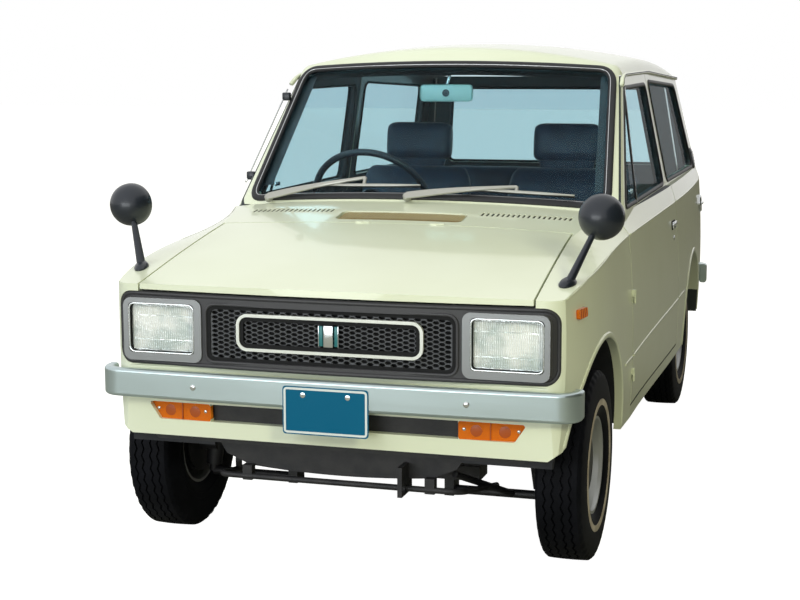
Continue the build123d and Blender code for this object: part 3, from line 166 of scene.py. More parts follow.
def varied(name, colour, roughness, pattern, low, high, stops=(0.35, 0.65), bump=None, **sockets):
    """A finish that varies between two colours, or between two roughnesses, in a pattern.
    bump: its own pattern, strength and distance."""
    finish = Finish(name, srgb(*colour), roughness, **sockets)
    factor = finish.pattern(*pattern)
    if isinstance(low, tuple):
        finish.set("Base Color", finish.ramp(factor, srgb(*low), srgb(*high), *stops))
    else:
        span = {"Value": factor, "To Min": low, "To Max": high}
        finish.set("Roughness", finish.add("ShaderNodeMapRange", span))
    if bump:
        finish.bump(finish.pattern(*bump[0]), *bump[1:])
    return finish.material


# The finishes by slot of the record, or by the name that a scene piece gives.
FINISH = {
    "paint": paint("cream_enamel", lined=False),
    "lined_paint": paint("cream_enamel_lined", lined=True),
    "underbody": varied("underbody_black", (24, 26, 33), 0.7, (14, 4), (18, 20, 27), (34, 35, 40),
                        bump=((160, 3), 0.3, 0.001)),
    "window_glass": Finish("window_glass", (0.26, 0.49, 0.57, 1), 0.0, Alpha=0.5, IOR=1.0, Transmission_Weight=1.0,
                           Coat_Weight=0.28, Coat_Roughness=0.0).material,
    # Light grey lens glass mottled to near white: painted reflections of the reflector behind it.
    "lamp_glass": varied("lamp_glass", (212, 222, 224), 0.16, (9, 2, (1, 1, 1.4)), (196, 208, 210), (250, 253, 254),
                         (0.36, 0.6), ((46, 2, (1, 1, 3)), 0.7, 0.004), Metallic=0.3, Coat_Weight=0.5),
    "amber": varied("amber_lens", (222, 112, 22), 0.2, (120, "X"), (240, 132, 28), (186, 74, 8), (0.2, 0.8),
                    ((120, "X"), 0.4, 0.0015), Specular_IOR_Level=0.25),
    "red_lens": varied("red_lens", (150, 12, 12), 0.14, (90, "Z"), (172, 18, 16), (110, 6, 8), (0.2, 0.8),
                       ((90, "Z"), 0.4, 0.0015), Coat_Weight=0.5),
    "bumper_steel": varied("bumper_steel", (186, 200, 202), 0.3, (9, 3, (0.3, 1, 3)), 0.24, 0.38, Metallic=0.85),
    "bright": varied("bright_trim", (220, 223, 224), 0.16, (40, 2), 0.12, 0.24, Metallic=1.0),
    "bezel": varied("bezel_silver", (140, 142, 144), 0.32, (60, 2), 0.26, 0.4, Metallic=0.7),
    "panel_black": varied("panel_grey_black", (54, 54, 58), 0.42, (25, 3), 0.36, 0.5, bump=((700, 2), 0.15, 0.0004)),
    "honeycomb": varied("honeycomb_grey", (74, 76, 82), 0.42, (40, 3), 0.36, 0.5),
    "ring_white": varied("ring_white", (226, 229, 226), 0.22, (50, 2), 0.18, 0.28, Metallic=0.35),
    "plate": varied("plate_blue", (0, 92, 128), 0.4, (20, 2), 0.26, 0.36, Specular_IOR_Level=0.15),
    "plate_white": varied("plate_white", (214, 220, 222), 0.32, (20, 2), 0.28, 0.4),
    "tyre": varied("tyre_rubber", (8, 9, 13), 0.66, (11, 4), (5, 6, 10), (14, 15, 21), bump=((420, 3), 0.2, 0.0005),
                   Specular_IOR_Level=0.12),
    "whitewall": varied("whitewall", (186, 174, 160), 0.6, (26, 3), (196, 186, 174), (160, 148, 134)),
    "wheel_steel": varied("wheel_silver", (168, 170, 172), 0.38, (24, 3), 0.32, 0.46, bump=((300, 2), 0.08, 0.0004),
                          Metallic=0.6),
    # Near black for the middle of the silver wheels: painted shade.
    "wheel_painted_shade": varied("wheel_painted_shade", (26, 27, 32), 0.4, (24, 3), 0.34, 0.5),
    # Tan of the centre vent's mesh: its cream paint darkened as painted shade.
    "mesh_painted_shade": varied("mesh_painted_shade", (172, 152, 106), 0.5, (40, 2), 0.44, 0.56),
    "teal": varied("teal_enamel", (40, 112, 118), 0.3, (40, 2), 0.26, 0.36),
    "mirror_plastic": varied("mirror_plastic", (178, 208, 206), 0.3, (30, 2), 0.26, 0.36),
    "bulb_shade": varied("lamp_bulb_shade", (168, 76, 14), 0.3, (40, 2), 0.26, 0.36),
    # Flutes mottled from light grey to near white: painted reflections of the reflector behind the lens.
    "flute": varied("flute_glass_painted_glints", (214, 224, 226), 0.1, (11, 3, (1, 1, 1.3)), (200, 212, 214), (252, 254, 255),
                    (0.4, 0.6), Metallic=0.3, Coat_Weight=0.6),
    "iron": varied("iron_black", (24, 25, 30), 0.55, (20, 4), (18, 19, 23), (36, 35, 37),
                   bump=((240, 3), 0.3, 0.0008)),
    "engine_metal": varied("engine_cast", (128, 130, 132), 0.5, (18, 4), 0.4, 0.65, bump=((320, 3), 0.35, 0.0008),
                           Metallic=0.7),
    "exhaust_steel": varied("exhaust_steel", (120, 112, 104), 0.5, (16, 4), (128, 120, 112), (92, 74, 58),
                            Metallic=0.8),
    "seat_cloth": varied("seat_vinyl", (22, 40, 62), 0.42, (18, 3), (20, 38, 60), (28, 48, 72),
                         bump=((700, 3), 0.35, 0.0006), Sheen_Weight=0.2),
    "dash": varied("dash_vinyl", (44, 50, 54), 0.55, (12, 3), (38, 44, 48), (54, 60, 64),
                   bump=((900, 3), 0.4, 0.0005)),
    "mirror_black": varied("satin_black", (28, 33, 42), 0.36, (30, 2), 0.32, 0.42, Coat_Weight=0.2),
    "wiper_metal": varied("wiper_metal", (176, 176, 170), 0.36, (60, 2), 0.28, 0.42, Metallic=0.6),
    "rubber": varied("seal_rubber", (26, 27, 30), 0.5, (60, 3), 0.42, 0.6),
    # Near black for handle recesses, the grille's back and bands and the cowl duct, as painted shade; also the real
    # black of the dial faces.
    "dark": varied("painted_shade_and_dial_black", (8, 9, 11), 0.8, (30, 2), 0.75, 0.9),
}
FINISH["wheel_rim_black"] = FINISH["mirror_black"]
AXLE_Z = 0.254
# Radius within which a wheel is painted near black, as painted shade.
WHEEL_PAINTED_SHADE_R = 0.104
WAIST_Z = 0.850
FRAME_EDGE_TURN = 0.3
# Wheels: x, y and the side that their outer face looks to.
WHEELS = {
    "front_left": (0.568, -1.100, 1), "front_right": (-0.568, -1.100, -1),
    "rear_left": (0.539, 0.900, 1), "rear_right": (-0.539, 0.900, -1),
}
LINED_NODES = ("roof_panel", "quarter_panels", "door_left", "door_right", "tailgate")


def two_tone(mesh, finish, is_second):
    """The faces that pass the test take a second finish."""
    mesh.materials.append(FINISH[finish])
    for face in mesh.polygons:
        face.material_index = 1 if is_second(face) else 0


def dress_cad_nodes():
    """Every CAD node takes the finish of its slot. Wheels are painted near black in their middle, a painted shade over
    the silver disc, and doors are darker round their window frames.
    """
    for part in frame["record"]["subparts"]:
        node = part["node"]
        key = "lined_paint" if node in LINED_NODES else part["material_slot"]
        mesh = NODES[node].data
        mesh.materials.clear()
        mesh.materials.append(FINISH["honeycomb" if node == "grille" else key])
    # The middle of each silver wheel takes a near black finish: painted shade.
    for label, (_, y, _) in WHEELS.items():
        two_tone(NODES[f"wheel_{label}"].data, "wheel_painted_shade",
                 lambda face: math.hypot(face.center.y - y, face.center.z - AXLE_Z) < WHEEL_PAINTED_SHADE_R)
    for hand, s in HANDS:
        two_tone(NODES[f"door_{hand}"].data, "dash",
                 lambda face: face.center.z > WAIST_Z and s * face.normal.x < FRAME_EDGE_TURN)


# ---------------------------------------------------------------- shapes
SHARP_DEGREES = 35


def mesh_piece(name, form, finish, body="body", smooth=True, sharp=None):
    """A piece from (verts, faces) that rides a body, in a finish."""
    verts, faces = form
    mesh = bpy.data.meshes.new(name)
    mesh.from_pydata([tuple(v) for v in verts], [], faces)
    mesh.validate()
    bm = bmesh.new()
    bm.from_mesh(mesh)
    bmesh.ops.recalc_face_normals(bm, faces=bm.faces)
    bm.to_mesh(mesh)
    bm.free()
    if smooth:
        mesh.shade_smooth()
    if sharp:
        mesh.set_sharp_from_angle(angle=math.radians(sharp))
    mesh.materials.append(FINISH[finish])
    piece = bpy.data.objects.new(name, mesh)
    bpy.context.scene.collection.objects.link(piece)
    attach(piece, body)
    return piece


def join_meshes(name, forms, finish, body="body", smooth=True):
    """One piece from several (verts, faces)."""
    verts, faces = [], []
    for some_verts, some_faces in forms:
        base = len(verts)
        verts += some_verts
        faces += [tuple(base + i for i in face) for face in some_faces]
    return mesh_piece(name, (verts, faces), finish, body, smooth, SHARP_DEGREES)


def lofted(rings, closed=False):
    """Vertices and faces of a skin over rings of points: joined back to the first where closed, or with flat ends."""
    count, ring = len(rings), len(rings[0])
    faces = []
    for i in range(count if closed else count - 1):
        j = (i + 1) % count
        for k in range(ring):
            n = (k + 1) % ring
            faces.append((i * ring + k, i * ring + n, j * ring + n, j * ring + k))
    if not closed:
        faces += [tuple(range(ring)), tuple(range((count - 1) * ring, count * ring))]
    return [point for points in rings for point in points], faces


def places_along(path, normals, closed=False):
    """Each point of a path, and the ways across it and out of the surface with those normals, or with one for all."""
    count = len(path)
    for i, point in enumerate(path):
        normal = normals[i] if isinstance(normals, list) else normals
        ahead = path[(i + 1) % count] if closed or i < count - 1 else point
        behind = path[i - 1] if closed or i > 0 else point
        along = (ahead - behind).normalized()
        across = along.cross(normal).normalized()
        yield point, across, across.cross(along).normalized()


def sweep_mesh(path, normals, section, closed=False):
    """Vertices and faces of a section (across, out) swept along a path."""
    return lofted([[point + across * a + out * o for a, o in section]
                   for point, across, out in places_along(path, normals, closed)], closed)


def half_round(width, height, steps=6, sink=0.002):
    """Section that bulges out from the surface."""
    turns = [math.pi * k / steps for k in range(steps + 1)]
    arc = [(math.cos(turn) * width / 2, math.sin(turn) * height) for turn in turns]
    return [(width / 2, -sink)] + arc + [(-width / 2, -sink)]


def flat_strip(width, height, sink=0.001):
    """Rectangular section."""
    return [(width / 2, -sink), (width / 2, height), (-width / 2, height), (-width / 2, -sink)]


def full_turn(steps):
    return [2 * math.pi * k / steps for k in range(steps)]


def round_section(radius, steps=10):
    return [(math.cos(turn) * radius, math.sin(turn) * radius) for turn in full_turn(steps)]


def oval(centre, a, b, steps):
    """Ring of points about two half-axis vectors."""
    return [centre + a * math.cos(turn) + b * math.sin(turn) for turn in full_turn(steps)]


def turned(centre, axis, profile, steps=20):
    """Vertices and faces of a turned form with a profile (along, radius), closed by a face at each end."""
    axis = Vector(axis).normalized()
    across = axis.orthogonal().normalized()
    third = axis.cross(across)
    verts, faces = [], []
    ring = len(profile)
    for turn in full_turn(steps):
        way = across * math.cos(turn) + third * math.sin(turn)
        verts += [Vector(centre) + axis * a + way * r for a, r in profile]
    for k in range(steps):
        j = (k + 1) % steps
        faces += [(k * ring + i, k * ring + i + 1, j * ring + i + 1, j * ring + i) for i in range(ring - 1)]
    faces += [tuple(k * ring for k in range(steps)), tuple(k * ring + ring - 1 for k in range(steps))]
    return verts, faces


def bolt_head(radius, height):
    """Profile of a low round head."""
    return [(-0.002, radius), (height * 0.5, radius), (height * 0.85, radius * 0.8), (height, radius * 0.35),
            (height, 0.0005)]


def box_mesh(centre, size, bevel=0.0, turn=None):
    """Vertices and faces of a bevelled box."""
    bm = bmesh.new()
    bmesh.ops.create_cube(bm, size=1.0)
    bmesh.ops.scale(bm, vec=Vector(size), verts=bm.verts)
    if bevel:
        bmesh.ops.bevel(bm, geom=list(bm.edges), offset=bevel, segments=2, profile=0.5, affect="EDGES")
    if turn:
        bmesh.ops.transform(bm, matrix=turn.to_4x4(), verts=bm.verts)
    bm.verts.ensure_lookup_table()
    bm.verts.index_update()
    verts = [v.co + Vector(centre) for v in bm.verts]
    faces = [tuple(v.index for v in f.verts) for f in bm.faces]
    bm.free()
    return verts, faces


def spread(start, end, count):
    return [start + (end - start) * k / (count - 1) for k in range(count)]


def eased(count):
    """Shares from 0 to 1 that are closer together at both ends."""
    return [0.5 - 0.5 * math.cos(math.pi * k / (count - 1)) for k in range(count)]


def resampled(points, spacing, closed):
    """Points at an even spacing along a polyline."""
    loop = points + [points[0]] if closed else points
    result, carry = [], 0.0
    for a, b in zip(loop, loop[1:]):
        length = (b - a).length
        at = carry
        while at < length:
            result.append(a + (b - a) * (at / length))
            at += spacing
        carry = at - length
    if not closed:
        result.append(points[-1])
    return result


def rounded(corners, radius, spacing=0.008):
    """A closed outline with its corners rounded to about that radius by averaging along it."""
    even = resampled([Vector(corner) for corner in corners], spacing, closed=True)
    reach = max(1, round(1.17 * radius / spacing))
    count = len(even)
    result = []
    for i in range(count):
        total = Vector((0, 0))
        for k in range(-reach, reach + 1):
            total += even[(i + k) % count]
        result.append(total / (2 * reach + 1))
    return result


def on_side(s, *lists):
    """Lists of points or normals of the left side, mirrored where s is -1."""
    return [[Vector((s * x, y, z)) for x, y, z in points] for points in lists]


# ---------------------------------------------------------------- glasshouse
# Plan outlines of the glasshouse, as the frame has them. columns: z, nose_y, front_x, front_y, rear_x, rear_y, tail_y
BELT_ROW = (0.876, -0.673, 0.604, -0.590, 0.584, 1.384, 1.404)
DRIP_ROW = (1.262, -0.303, 0.534, -0.226, 0.500, 1.266, 1.286)
LAID_STEP = 0.004


def glasshouse_row(z):
    t = (z - BELT_ROW[0]) / (DRIP_ROW[0] - BELT_ROW[0])
    return [a + t * (b - a) for a, b in zip(BELT_ROW[1:], DRIP_ROW[1:])]


def bowed(x, half, middle, corner):
    """y at x of the arc from (0, middle) to (half, corner)."""
    rise = corner - middle
    radius = (half * half + rise * rise) / (2 * abs(rise))
    return middle + math.copysign(radius - math.sqrt(max(radius * radius - x * x, 0)), rise)


def screen_point(x, z):
    nose_y, front_x, front_y, _, _, _ = glasshouse_row(z)
    return Vector((x, bowed(x, front_x, nose_y, front_y), z))


def side_point(y, z):
    _, front_x, front_y, rear_x, rear_y, _ = glasshouse_row(z)
    return Vector((front_x + (rear_x - front_x) * (y - front_y) / (rear_y - front_y), y, z))


def tail_point(x, z):
    _, _, _, rear_x, rear_y, tail_y = glasshouse_row(z)
    return Vector((x, bowed(x, rear_x, tail_y, rear_y), z))


def laid(point_at, outline):
    """Points and outward normals of an outline laid on one face of the glasshouse."""
    path, normals = [], []
    for u, v in outline:
        here = point_at(u, v)
        normal = (point_at(u + LAID_STEP, v) - here).cross(point_at(u, v + LAID_STEP) - here).normalized()
        if normal.dot(here - CABIN_MIDDLE) < 0:
            normal.negate()
        path.append(here)
        normals.append(normal)
    return path, normals


# ---------------------------------------------------------------- glazing
# Half width, height of the corners and height of the middle, of the windscreen's lower and upper edge.
SCREEN_FOOT = (0.556, 0.893, 0.915)
SCREEN_HEAD = (0.505, 1.284, 1.302)
SCREEN_STEPS = 24
SCREEN_CORNER_R = 0.034
WINDOW_R = 0.026
DOOR_WINDOW = [(-0.535, 0.886), (0.355, 0.886), (0.308, 1.228), (-0.212, 1.228)]
QUARTER_WINDOW = [(0.452, 0.888), (1.275, 0.882), (1.172, 1.204), (0.398, 1.236)]
GATE_WINDOW = [(-0.452, 0.878), (0.452, 0.878), (0.408, 1.196), (-0.408, 1.196)]
BEAD_R = 0.0015
SLEEVE_FROM = 0.0145
SLEEVE_INSET = 0.0015
SLEEVE_THICK = 0.002


def seal_loop(name, path, normals, body, width, height, bead_at=None):
    """Rubber seal around a window, with a bright bead set in it."""
    mesh_piece(name, sweep_mesh(path, normals, half_round(width, height), closed=True), "rubber", body)
    if bead_at is not None:
        section = [(a + bead_at, o + height * 0.72) for a, o in round_section(BEAD_R, 8)]
        mesh_piece(f"{name}_bead_0", sweep_mesh(path, normals, section, closed=True), "bright", body)


def screen_outline():
    """Windscreen outline (x, z) with its bowed lower and upper edges."""
    outline = []
    for (half, corner_z, middle_z), way in ((SCREEN_FOOT, 1), (SCREEN_HEAD, -1)):
        for t in [way * (2 * k / SCREEN_STEPS - 1) for k in range(SCREEN_STEPS + 1)]:
            outline.append((half * t, corner_z + (middle_z - corner_z) * (1 - t * t)))
    return outline


def sleeve(name, path, normals, body, deep_to):
    """Dark rubber lining of a window's opening, behind its glass: the sweep that lies nearer the cabin's middle."""
    far = SLEEVE_INSET + SLEEVE_THICK
    section = [(SLEEVE_INSET, -SLEEVE_FROM), (far, -SLEEVE_FROM), (far, -deep_to), (SLEEVE_INSET, -deep_to)]
    forms = [sweep_mesh(path, normals, [(sign * a, o) for a, o in section], closed=True) for sign in (1, -1)]
    nearer = min(forms, key=lambda form: sum((v - CABIN_MIDDLE).length for v in form[0]))
    mesh_piece(name, nearer, "rubber", body)


def make_seals():
    """Seal and lining of every window."""
    path, normals = laid(screen_point, rounded(screen_outline(), SCREEN_CORNER_R))
    seal_loop("windscreen_seal", path, normals, "body", 0.026, 0.008, -0.006)
    sleeve("windscreen_sleeve", path, normals, "body", 0.046)
    path, normals = laid(tail_point, rounded(GATE_WINDOW, WINDOW_R))
    seal_loop("tailgate_glass_seal", path, normals, "tailgate", 0.020, 0.007, 0.004)
    sleeve("tailgate_sleeve", path, normals, "tailgate", 0.030)
    for hand, s in HANDS:
        for label, corners, body in (("door", DOOR_WINDOW, f"door_{hand}"), ("quarter", QUARTER_WINDOW, "body")):
            path, normals = on_side(s, *laid(side_point, rounded(corners, WINDOW_R)))
            seal_loop(f"{label}_glass_seal_{hand}", path, normals, body, 0.014, 0.004)
            sleeve(f"{label}_sleeve_{hand}", path, normals, body, 0.030)


# ---------------------------------------------------------------- wheels
TYRE_R = 0.254
CROWN_DROP = 0.0015
TREAD_HALF = 0.050
GROOVES = (-0.033, -0.012, 0.012, 0.033)
GROOVE_DEEP = 0.006
GROOVE_HALF = 0.0026
ZIGZAGS = 44
ZIGZAG_REACH = 0.0034
# Cuts in the shoulder: share of each zigzag, depth, and the radii between which they deepen.
CUT_SHARE = 0.34
CUT_DEEP = 0.0035
CUT_FROM_R = 0.240
CUT_FADE = 0.0075
WHITEWALL = (0.160, 0.177)
WHITEWALL_FROM_X = 0.05
STEPS_ROUND = 264
TYRE_SHARP_DEGREES = 32
# Sidewall from the shoulder to the bead as (x, radius).
TYRE_WALL = [
    (0.0565, 0.2475), (0.0590, 0.2420), (0.0605, 0.2340), (0.0625, 0.2200), (0.0640, 0.2000), (0.0642, 0.1850),
    (0.0640, WHITEWALL[1] + 0.002), (0.0638, WHITEWALL[1]), (0.0649, WHITEWALL[1] - 0.0008),
    (0.0646, WHITEWALL[0] + 0.0008), (0.0632, WHITEWALL[0]), (0.0625, 0.1560), (0.0590, 0.1420), (0.0540, 0.1330),
    (0.0505, 0.1285),
]


def tread_columns():
    """Points across the tread as (x, depth), groove by groove."""
    columns = [(-TREAD_HALF, 0.0)]
    for centre in GROOVES:
        columns += [(centre + GROOVE_HALF * share, deep)
                    for share, deep in ((-1, 0.0), (-0.6, GROOVE_DEEP), (0.6, GROOVE_DEEP), (1, 0.0))]
    return columns + [(TREAD_HALF, 0.0)]


def make_tyre(label, x, y, side):
    """Cross-ply tyre with zigzag ribs and a thin white line on its outer wall."""
    profile = [(-px, pr, False) for px, pr in reversed(TYRE_WALL)]
    profile += [(px, TYRE_R - CROWN_DROP * (px / TREAD_HALF) ** 2 - deep, True) for px, deep in tread_columns()]
    profile += [(px, pr, False) for px, pr in TYRE_WALL]
    rings = []
    for k, angle in enumerate(full_turn(STEPS_ROUND)):
        phase = (k * ZIGZAGS / STEPS_ROUND) % 1.0
        zigzag = ZIGZAG_REACH * (4 * abs(phase - 0.5) - 1)
        cut = CUT_DEEP if phase < CUT_SHARE else 0.0
        ring = []
        for px, pr, on_tread in profile:
            if on_tread and abs(px) < TREAD_HALF - 0.001:
                px += zigzag
            elif not on_tread and pr > CUT_FROM_R:
                pr -= cut * (pr - CUT_FROM_R) / CUT_FADE
            ring.append((side * px + x, y + math.cos(angle) * pr, AXLE_Z + math.sin(angle) * pr))
        rings.append(ring)
    tyre = mesh_piece(f"tyre_{label}_treaded", lofted(rings, closed=True), "tyre", f"road_wheel_{label}",
                      sharp=TYRE_SHARP_DEGREES)

    def white(face):
        radius = math.hypot(face.center.y - y, face.center.z - AXLE_Z)
        return WHITEWALL[0] < radius < WHITEWALL[1] and side * (face.center.x - x) > WHITEWALL_FROM_X

    two_tone(tyre.data, "whitewall", white)
    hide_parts(f"tyre_{label}")


# ---------------------------------------------------------------- places on the skin
# Where rays start, clear of the car.
ABOVE_Z, BESIDE_X, AHEAD_Y, BEHIND_Y = 2, 0.9, -2, 3


def surface(*names):
    """Search tree over CAD nodes."""
    verts, faces = [], []
    for name in names:
        mesh = NODES[name].data
        base = len(verts)
        verts += [v.co.copy() for v in mesh.vertices]
        faces += [[base + i for i in p.vertices] for p in mesh.polygons]
    return BVHTree.FromPolygons(verts, faces)


def cast(tree, start, way):
    """Point and outward normal where a ray meets the skin, or two Nones."""
    hit, normal, _, _ = tree.ray_cast(Vector(start), Vector(way))
    if hit is None:
        return None, None
    return hit, normal if normal.dot(Vector(way)) < 0 else -normal


def cast_down(tree, x, y):
    return cast(tree, (x, y, ABOVE_Z), (0, 0, -1))


def cast_side(tree, s, y, z):
    return cast(tree, (s * BESIDE_X, y, z), (-s, 0, 0))


def skin_path(tree, starts, way):
    """Points and normals where rays meet the skin, without the misses."""
    found = [cast(tree, start, way) for start in starts]
    found = [(hit, normal) for hit, normal in found if hit is not None]
    return [hit for hit, _ in found], [normal for _, normal in found]


def strip(name, tree, starts, way, section, finish, body="body", closed=False):
    """A section swept where rays meet the skin."""
    mesh_piece(name, sweep_mesh(*skin_path(tree, starts, way), section, closed), finish, body)


def level_turn(side, normal):
    """Up along the skin, and the turn of a box that lies on it with its width along side."""
    up = side.cross(normal).normalized()
    up = up if up.z > 0 else -up
    return up, Matrix((side, up, normal)).transposed()


def front_loop(box, inset, radius, spacing=0.004):
    """Rounded rectangle (x, z) as seen from the front, set in from a box (low_x, high_x, low_z, high_z)."""
    low_x, high_x, low_z, high_z = box[0] + inset, box[1] - inset, box[2] + inset, box[3] - inset
    return rounded([(low_x, low_z), (high_x, low_z), (high_x, high_z), (low_x, high_z)], radius, spacing)


def flat_loop(name, outline, y, out, section, finish):
    """A section swept round an outline (x, z) on a plane that faces along Y."""
    path = [Vector((x, y, z)) for x, z in outline]
    form = sweep_mesh(path, Vector((0, out, 0)), section, closed=True)
    mesh_piece(name, form, finish, sharp=SHARP_DEGREES)


# ---------------------------------------------------------------- body lines
# Wheel arches: label, CAD node, y, z and radius.
ARCHES = [("front", "fenders", -1.100, 0.274, 0.321), ("rear", "quarter_panels", 0.900, 0.274, 0.311)]
ARCH_LIP_OUT = 0.008
# Creases along the side: label, width, rise and points (y, z).
CREASES = [
    ("upper", 0.006, 0.0016, [(-1.440, 0.742), (-1.250, 0.776), (-0.940, 0.804), (-0.635, 0.818), (0.0, 0.820),
                              (0.8, 0.823), (1.380, 0.826)]),
    ("lower", 0.008, 0.0020, [(-0.772, 0.460), (0.585, 0.484)]),
]
# Panels along the side: CAD node, without its hand on the doors, first y and last y.
SIDE_PANELS = [("fenders", -1.440, -0.640), ("door", -0.624, 0.392), ("quarter_panels", 0.408, 1.380)]
DRIP_HEADS = [(-0.262, 1.238), (-0.215, 1.268), (0.40, 1.268), (1.285, 1.229)]
DRIP_SECTION = [(0.007, -0.003), (0.007, 0.006), (0.004, 0.009), (-0.003, 0.009), (-0.005, 0.006), (-0.005, -0.003)]
DRIP_STEP = 0.01


def height_along(line, y):
    for (y0, z0), (y1, z1) in zip(line, line[1:]):
        if y0 <= y <= y1:
            return z0 + (z1 - z0) * (y - y0) / (y1 - y0)
    return None


def make_body_lines():
    """Pressed creases along the sides and rolled lips round the wheel arches."""
    for hand, s in HANDS:
        for label, width, rise, line in CREASES:
            for panel, y_from, y_to in SIDE_PANELS:
                node = f"door_{hand}" if panel == "door" else panel
                heights = [(y, height_along(line, y)) for y in spread(y_from, y_to, 40)]
                starts = [(s * BESIDE_X, y, z) for y, z in heights if z is not None]
                if len(starts) > 2:
                    strip(f"{label}_crease_{panel}_{hand}", surface(node), starts, (-s, 0, 0),
                          half_round(width, rise, 4), "paint", node if panel == "door" else "body")
        for label, node, y, z, radius in ARCHES:
            lip_r = radius + ARCH_LIP_OUT
            starts = [(s * BESIDE_X, y + math.cos(math.radians(a)) * lip_r, z + math.sin(math.radians(a)) * lip_r)
                      for a in spread(-6, 186, 97)]
            strip(f"{label}_arch_lip_{hand}", surface(node), starts, (-s, 0, 0), half_round(0.015, 0.0035, 6), "paint")


def make_drip_rails():
    """Gutters over the doors and side windows."""
    even = resampled([side_point(y, z) for y, z in DRIP_HEADS], 0.04, closed=False)
    smooth = [even[0]] + [(a + 2 * b + c) / 4 for a, b, c in zip(even, even[1:], even[2:])] + [even[-1]]
    outward = []
    for point in smooth:
        here, up = side_point(point.y, point.z), side_point(point.y, point.z + DRIP_STEP)
        normal = (side_point(point.y + DRIP_STEP, point.z) - here).cross(up - here).normalized()
        outward.append(normal if normal.x > 0 else -normal)
    groove = [(a, o + 0.0085) for a, o in flat_strip(0.003, 0.0012)]
    for hand, s in HANDS:
        path, normals = on_side(s, smooth, outward)
        mesh_piece(f"drip_rail_{hand}", sweep_mesh(path, normals, DRIP_SECTION), "paint")
        mesh_piece(f"drip_shadow_{hand}", sweep_mesh(path, normals, groove), "rubber")


def make_doors():
    """Pull handle with a near black patch of painted shade in its recess, lock and quarterlight bar of each door."""
    side = Vector((0, 1, 0))
    for hand, s in HANDS:
        body = f"door_{hand}"
        tree = surface(body)
        hit, normal = cast_side(tree, s, 0.296, 0.751)
        up, turn = level_turn(side, normal)
        # Near black patch in the handle's recess: painted shade.
        join_meshes(f"door_handle_recess_{hand}", [box_mesh(hit + normal * 0.001, (0.070, 0.030, 0.004), 0.0012, turn)],
                    "dark", body)
        lock, lock_normal = cast_side(tree, s, 0.300, 0.706)
        join_meshes(f"door_handle_{hand}", [
            box_mesh(hit + normal * 0.0075 + up * 0.005, (0.062, 0.014, 0.009), 0.003, turn),
            box_mesh(hit + normal * 0.004 + side * 0.030, (0.006, 0.024, 0.008), 0.002, turn),
            box_mesh(hit + normal * 0.004 - side * 0.030, (0.006, 0.024, 0.008), 0.002, turn),
            turned(lock, lock_normal, [(-0.001, 0.009), (0.002, 0.009), (0.003, 0.007), (0.003, 0.0004)]),
        ], "bright", body)
        bar, normals = on_side(s, [side_point(-0.316 + 0.103 * t, 0.880 + 0.350 * t) for t in spread(0, 1, 9)],
                               [Vector((1, 0, 0.16)).normalized()] * 9)
        mesh_piece(f"quarterlight_bar_{hand}", sweep_mesh(bar, normals, half_round(0.013, 0.004, 5)), "rubber", body)
        bead = [(a, o + 0.0035) for a, o in round_section(0.0018, 6)]
        mesh_piece(f"quarterlight_bead_{hand}", sweep_mesh(bar, normals, bead), "bright", body)
        catch = side_point(-0.300, 0.915)
        join_meshes(f"quarterlight_catch_{hand}",
                    [box_mesh((s * (catch.x - 0.014), catch.y, catch.z), (0.010, 0.034, 0.014), 0.003)], "bright", body)


# ---------------------------------------------------------------- front end
# Boxes as (low_x, high_x, low_z, high_z).
LENS = (0.369, 0.556, 0.565, 0.698)
GRILLE_OPENING = (-0.334, 0.334, 0.553, 0.699)
FASCIA = (-0.592, 0.592, 0.533, 0.727)
LENS_FACE_Y = -1.452
LAMP_FACE_Y = -1.468
GRILLE_FACE_Y = -1.4635
GRILLE_EDGE_Y = -1.466
TURN_LAMP_Z = 0.409


def make_headlamps():
    """Fluted lens faces, mottled as painted reflections of the reflector, with their dark gaskets, and a dark screen
    behind the grille as painted shade.
    """
    low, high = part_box("grille")
    # Near black screen behind the grille's cells: painted shade in place of what lies behind.
    join_meshes("grille_painted_shade_screen", [box_mesh((0, high.y + 0.010, (low.z + high.z) / 2),
                                           (high.x - low.x - 0.012, 0.002, high.z - low.z - 0.012))], "dark")
    low_x, high_x, low_z, high_z = LENS
    # Rows of flutes: first z, last z and rise.
    rows = [(low_z + 0.008, low_z + 0.034, 0.0020), (low_z + 0.036, high_z - 0.036, 0.0011),
            (high_z - 0.034, high_z - 0.008, 0.0020)]
    for hand, s in HANDS:
        outline = [(s * x, z) for x, z in front_loop(LENS, 0.002, 0.012)]
        flat_loop(f"lamp_gasket_{hand}", outline, LENS_FACE_Y, -1, flat_strip(0.006, 0.003), "rubber")
        flat_loop(f"lamp_bead_{hand}", outline, LAMP_FACE_Y, -1, half_round(0.004, 0.0015, 4), "bright")
        flutes = []
        for x in spread(low_x + 0.009, high_x - 0.009, 32):
            for z_from, z_to, rise in rows:
                path = [Vector((s * x, LENS_FACE_Y, z)) for z in spread(z_from, z_to, 4)]
                flutes.append(sweep_mesh(path, Vector((0, -1, 0)), half_round(0.0046, rise, 5, 0.001)))
        # The flutes are mottled to near white, as painted reflections of the reflector.
        join_meshes(f"lamp_flutes_{hand}", flutes, "flute")


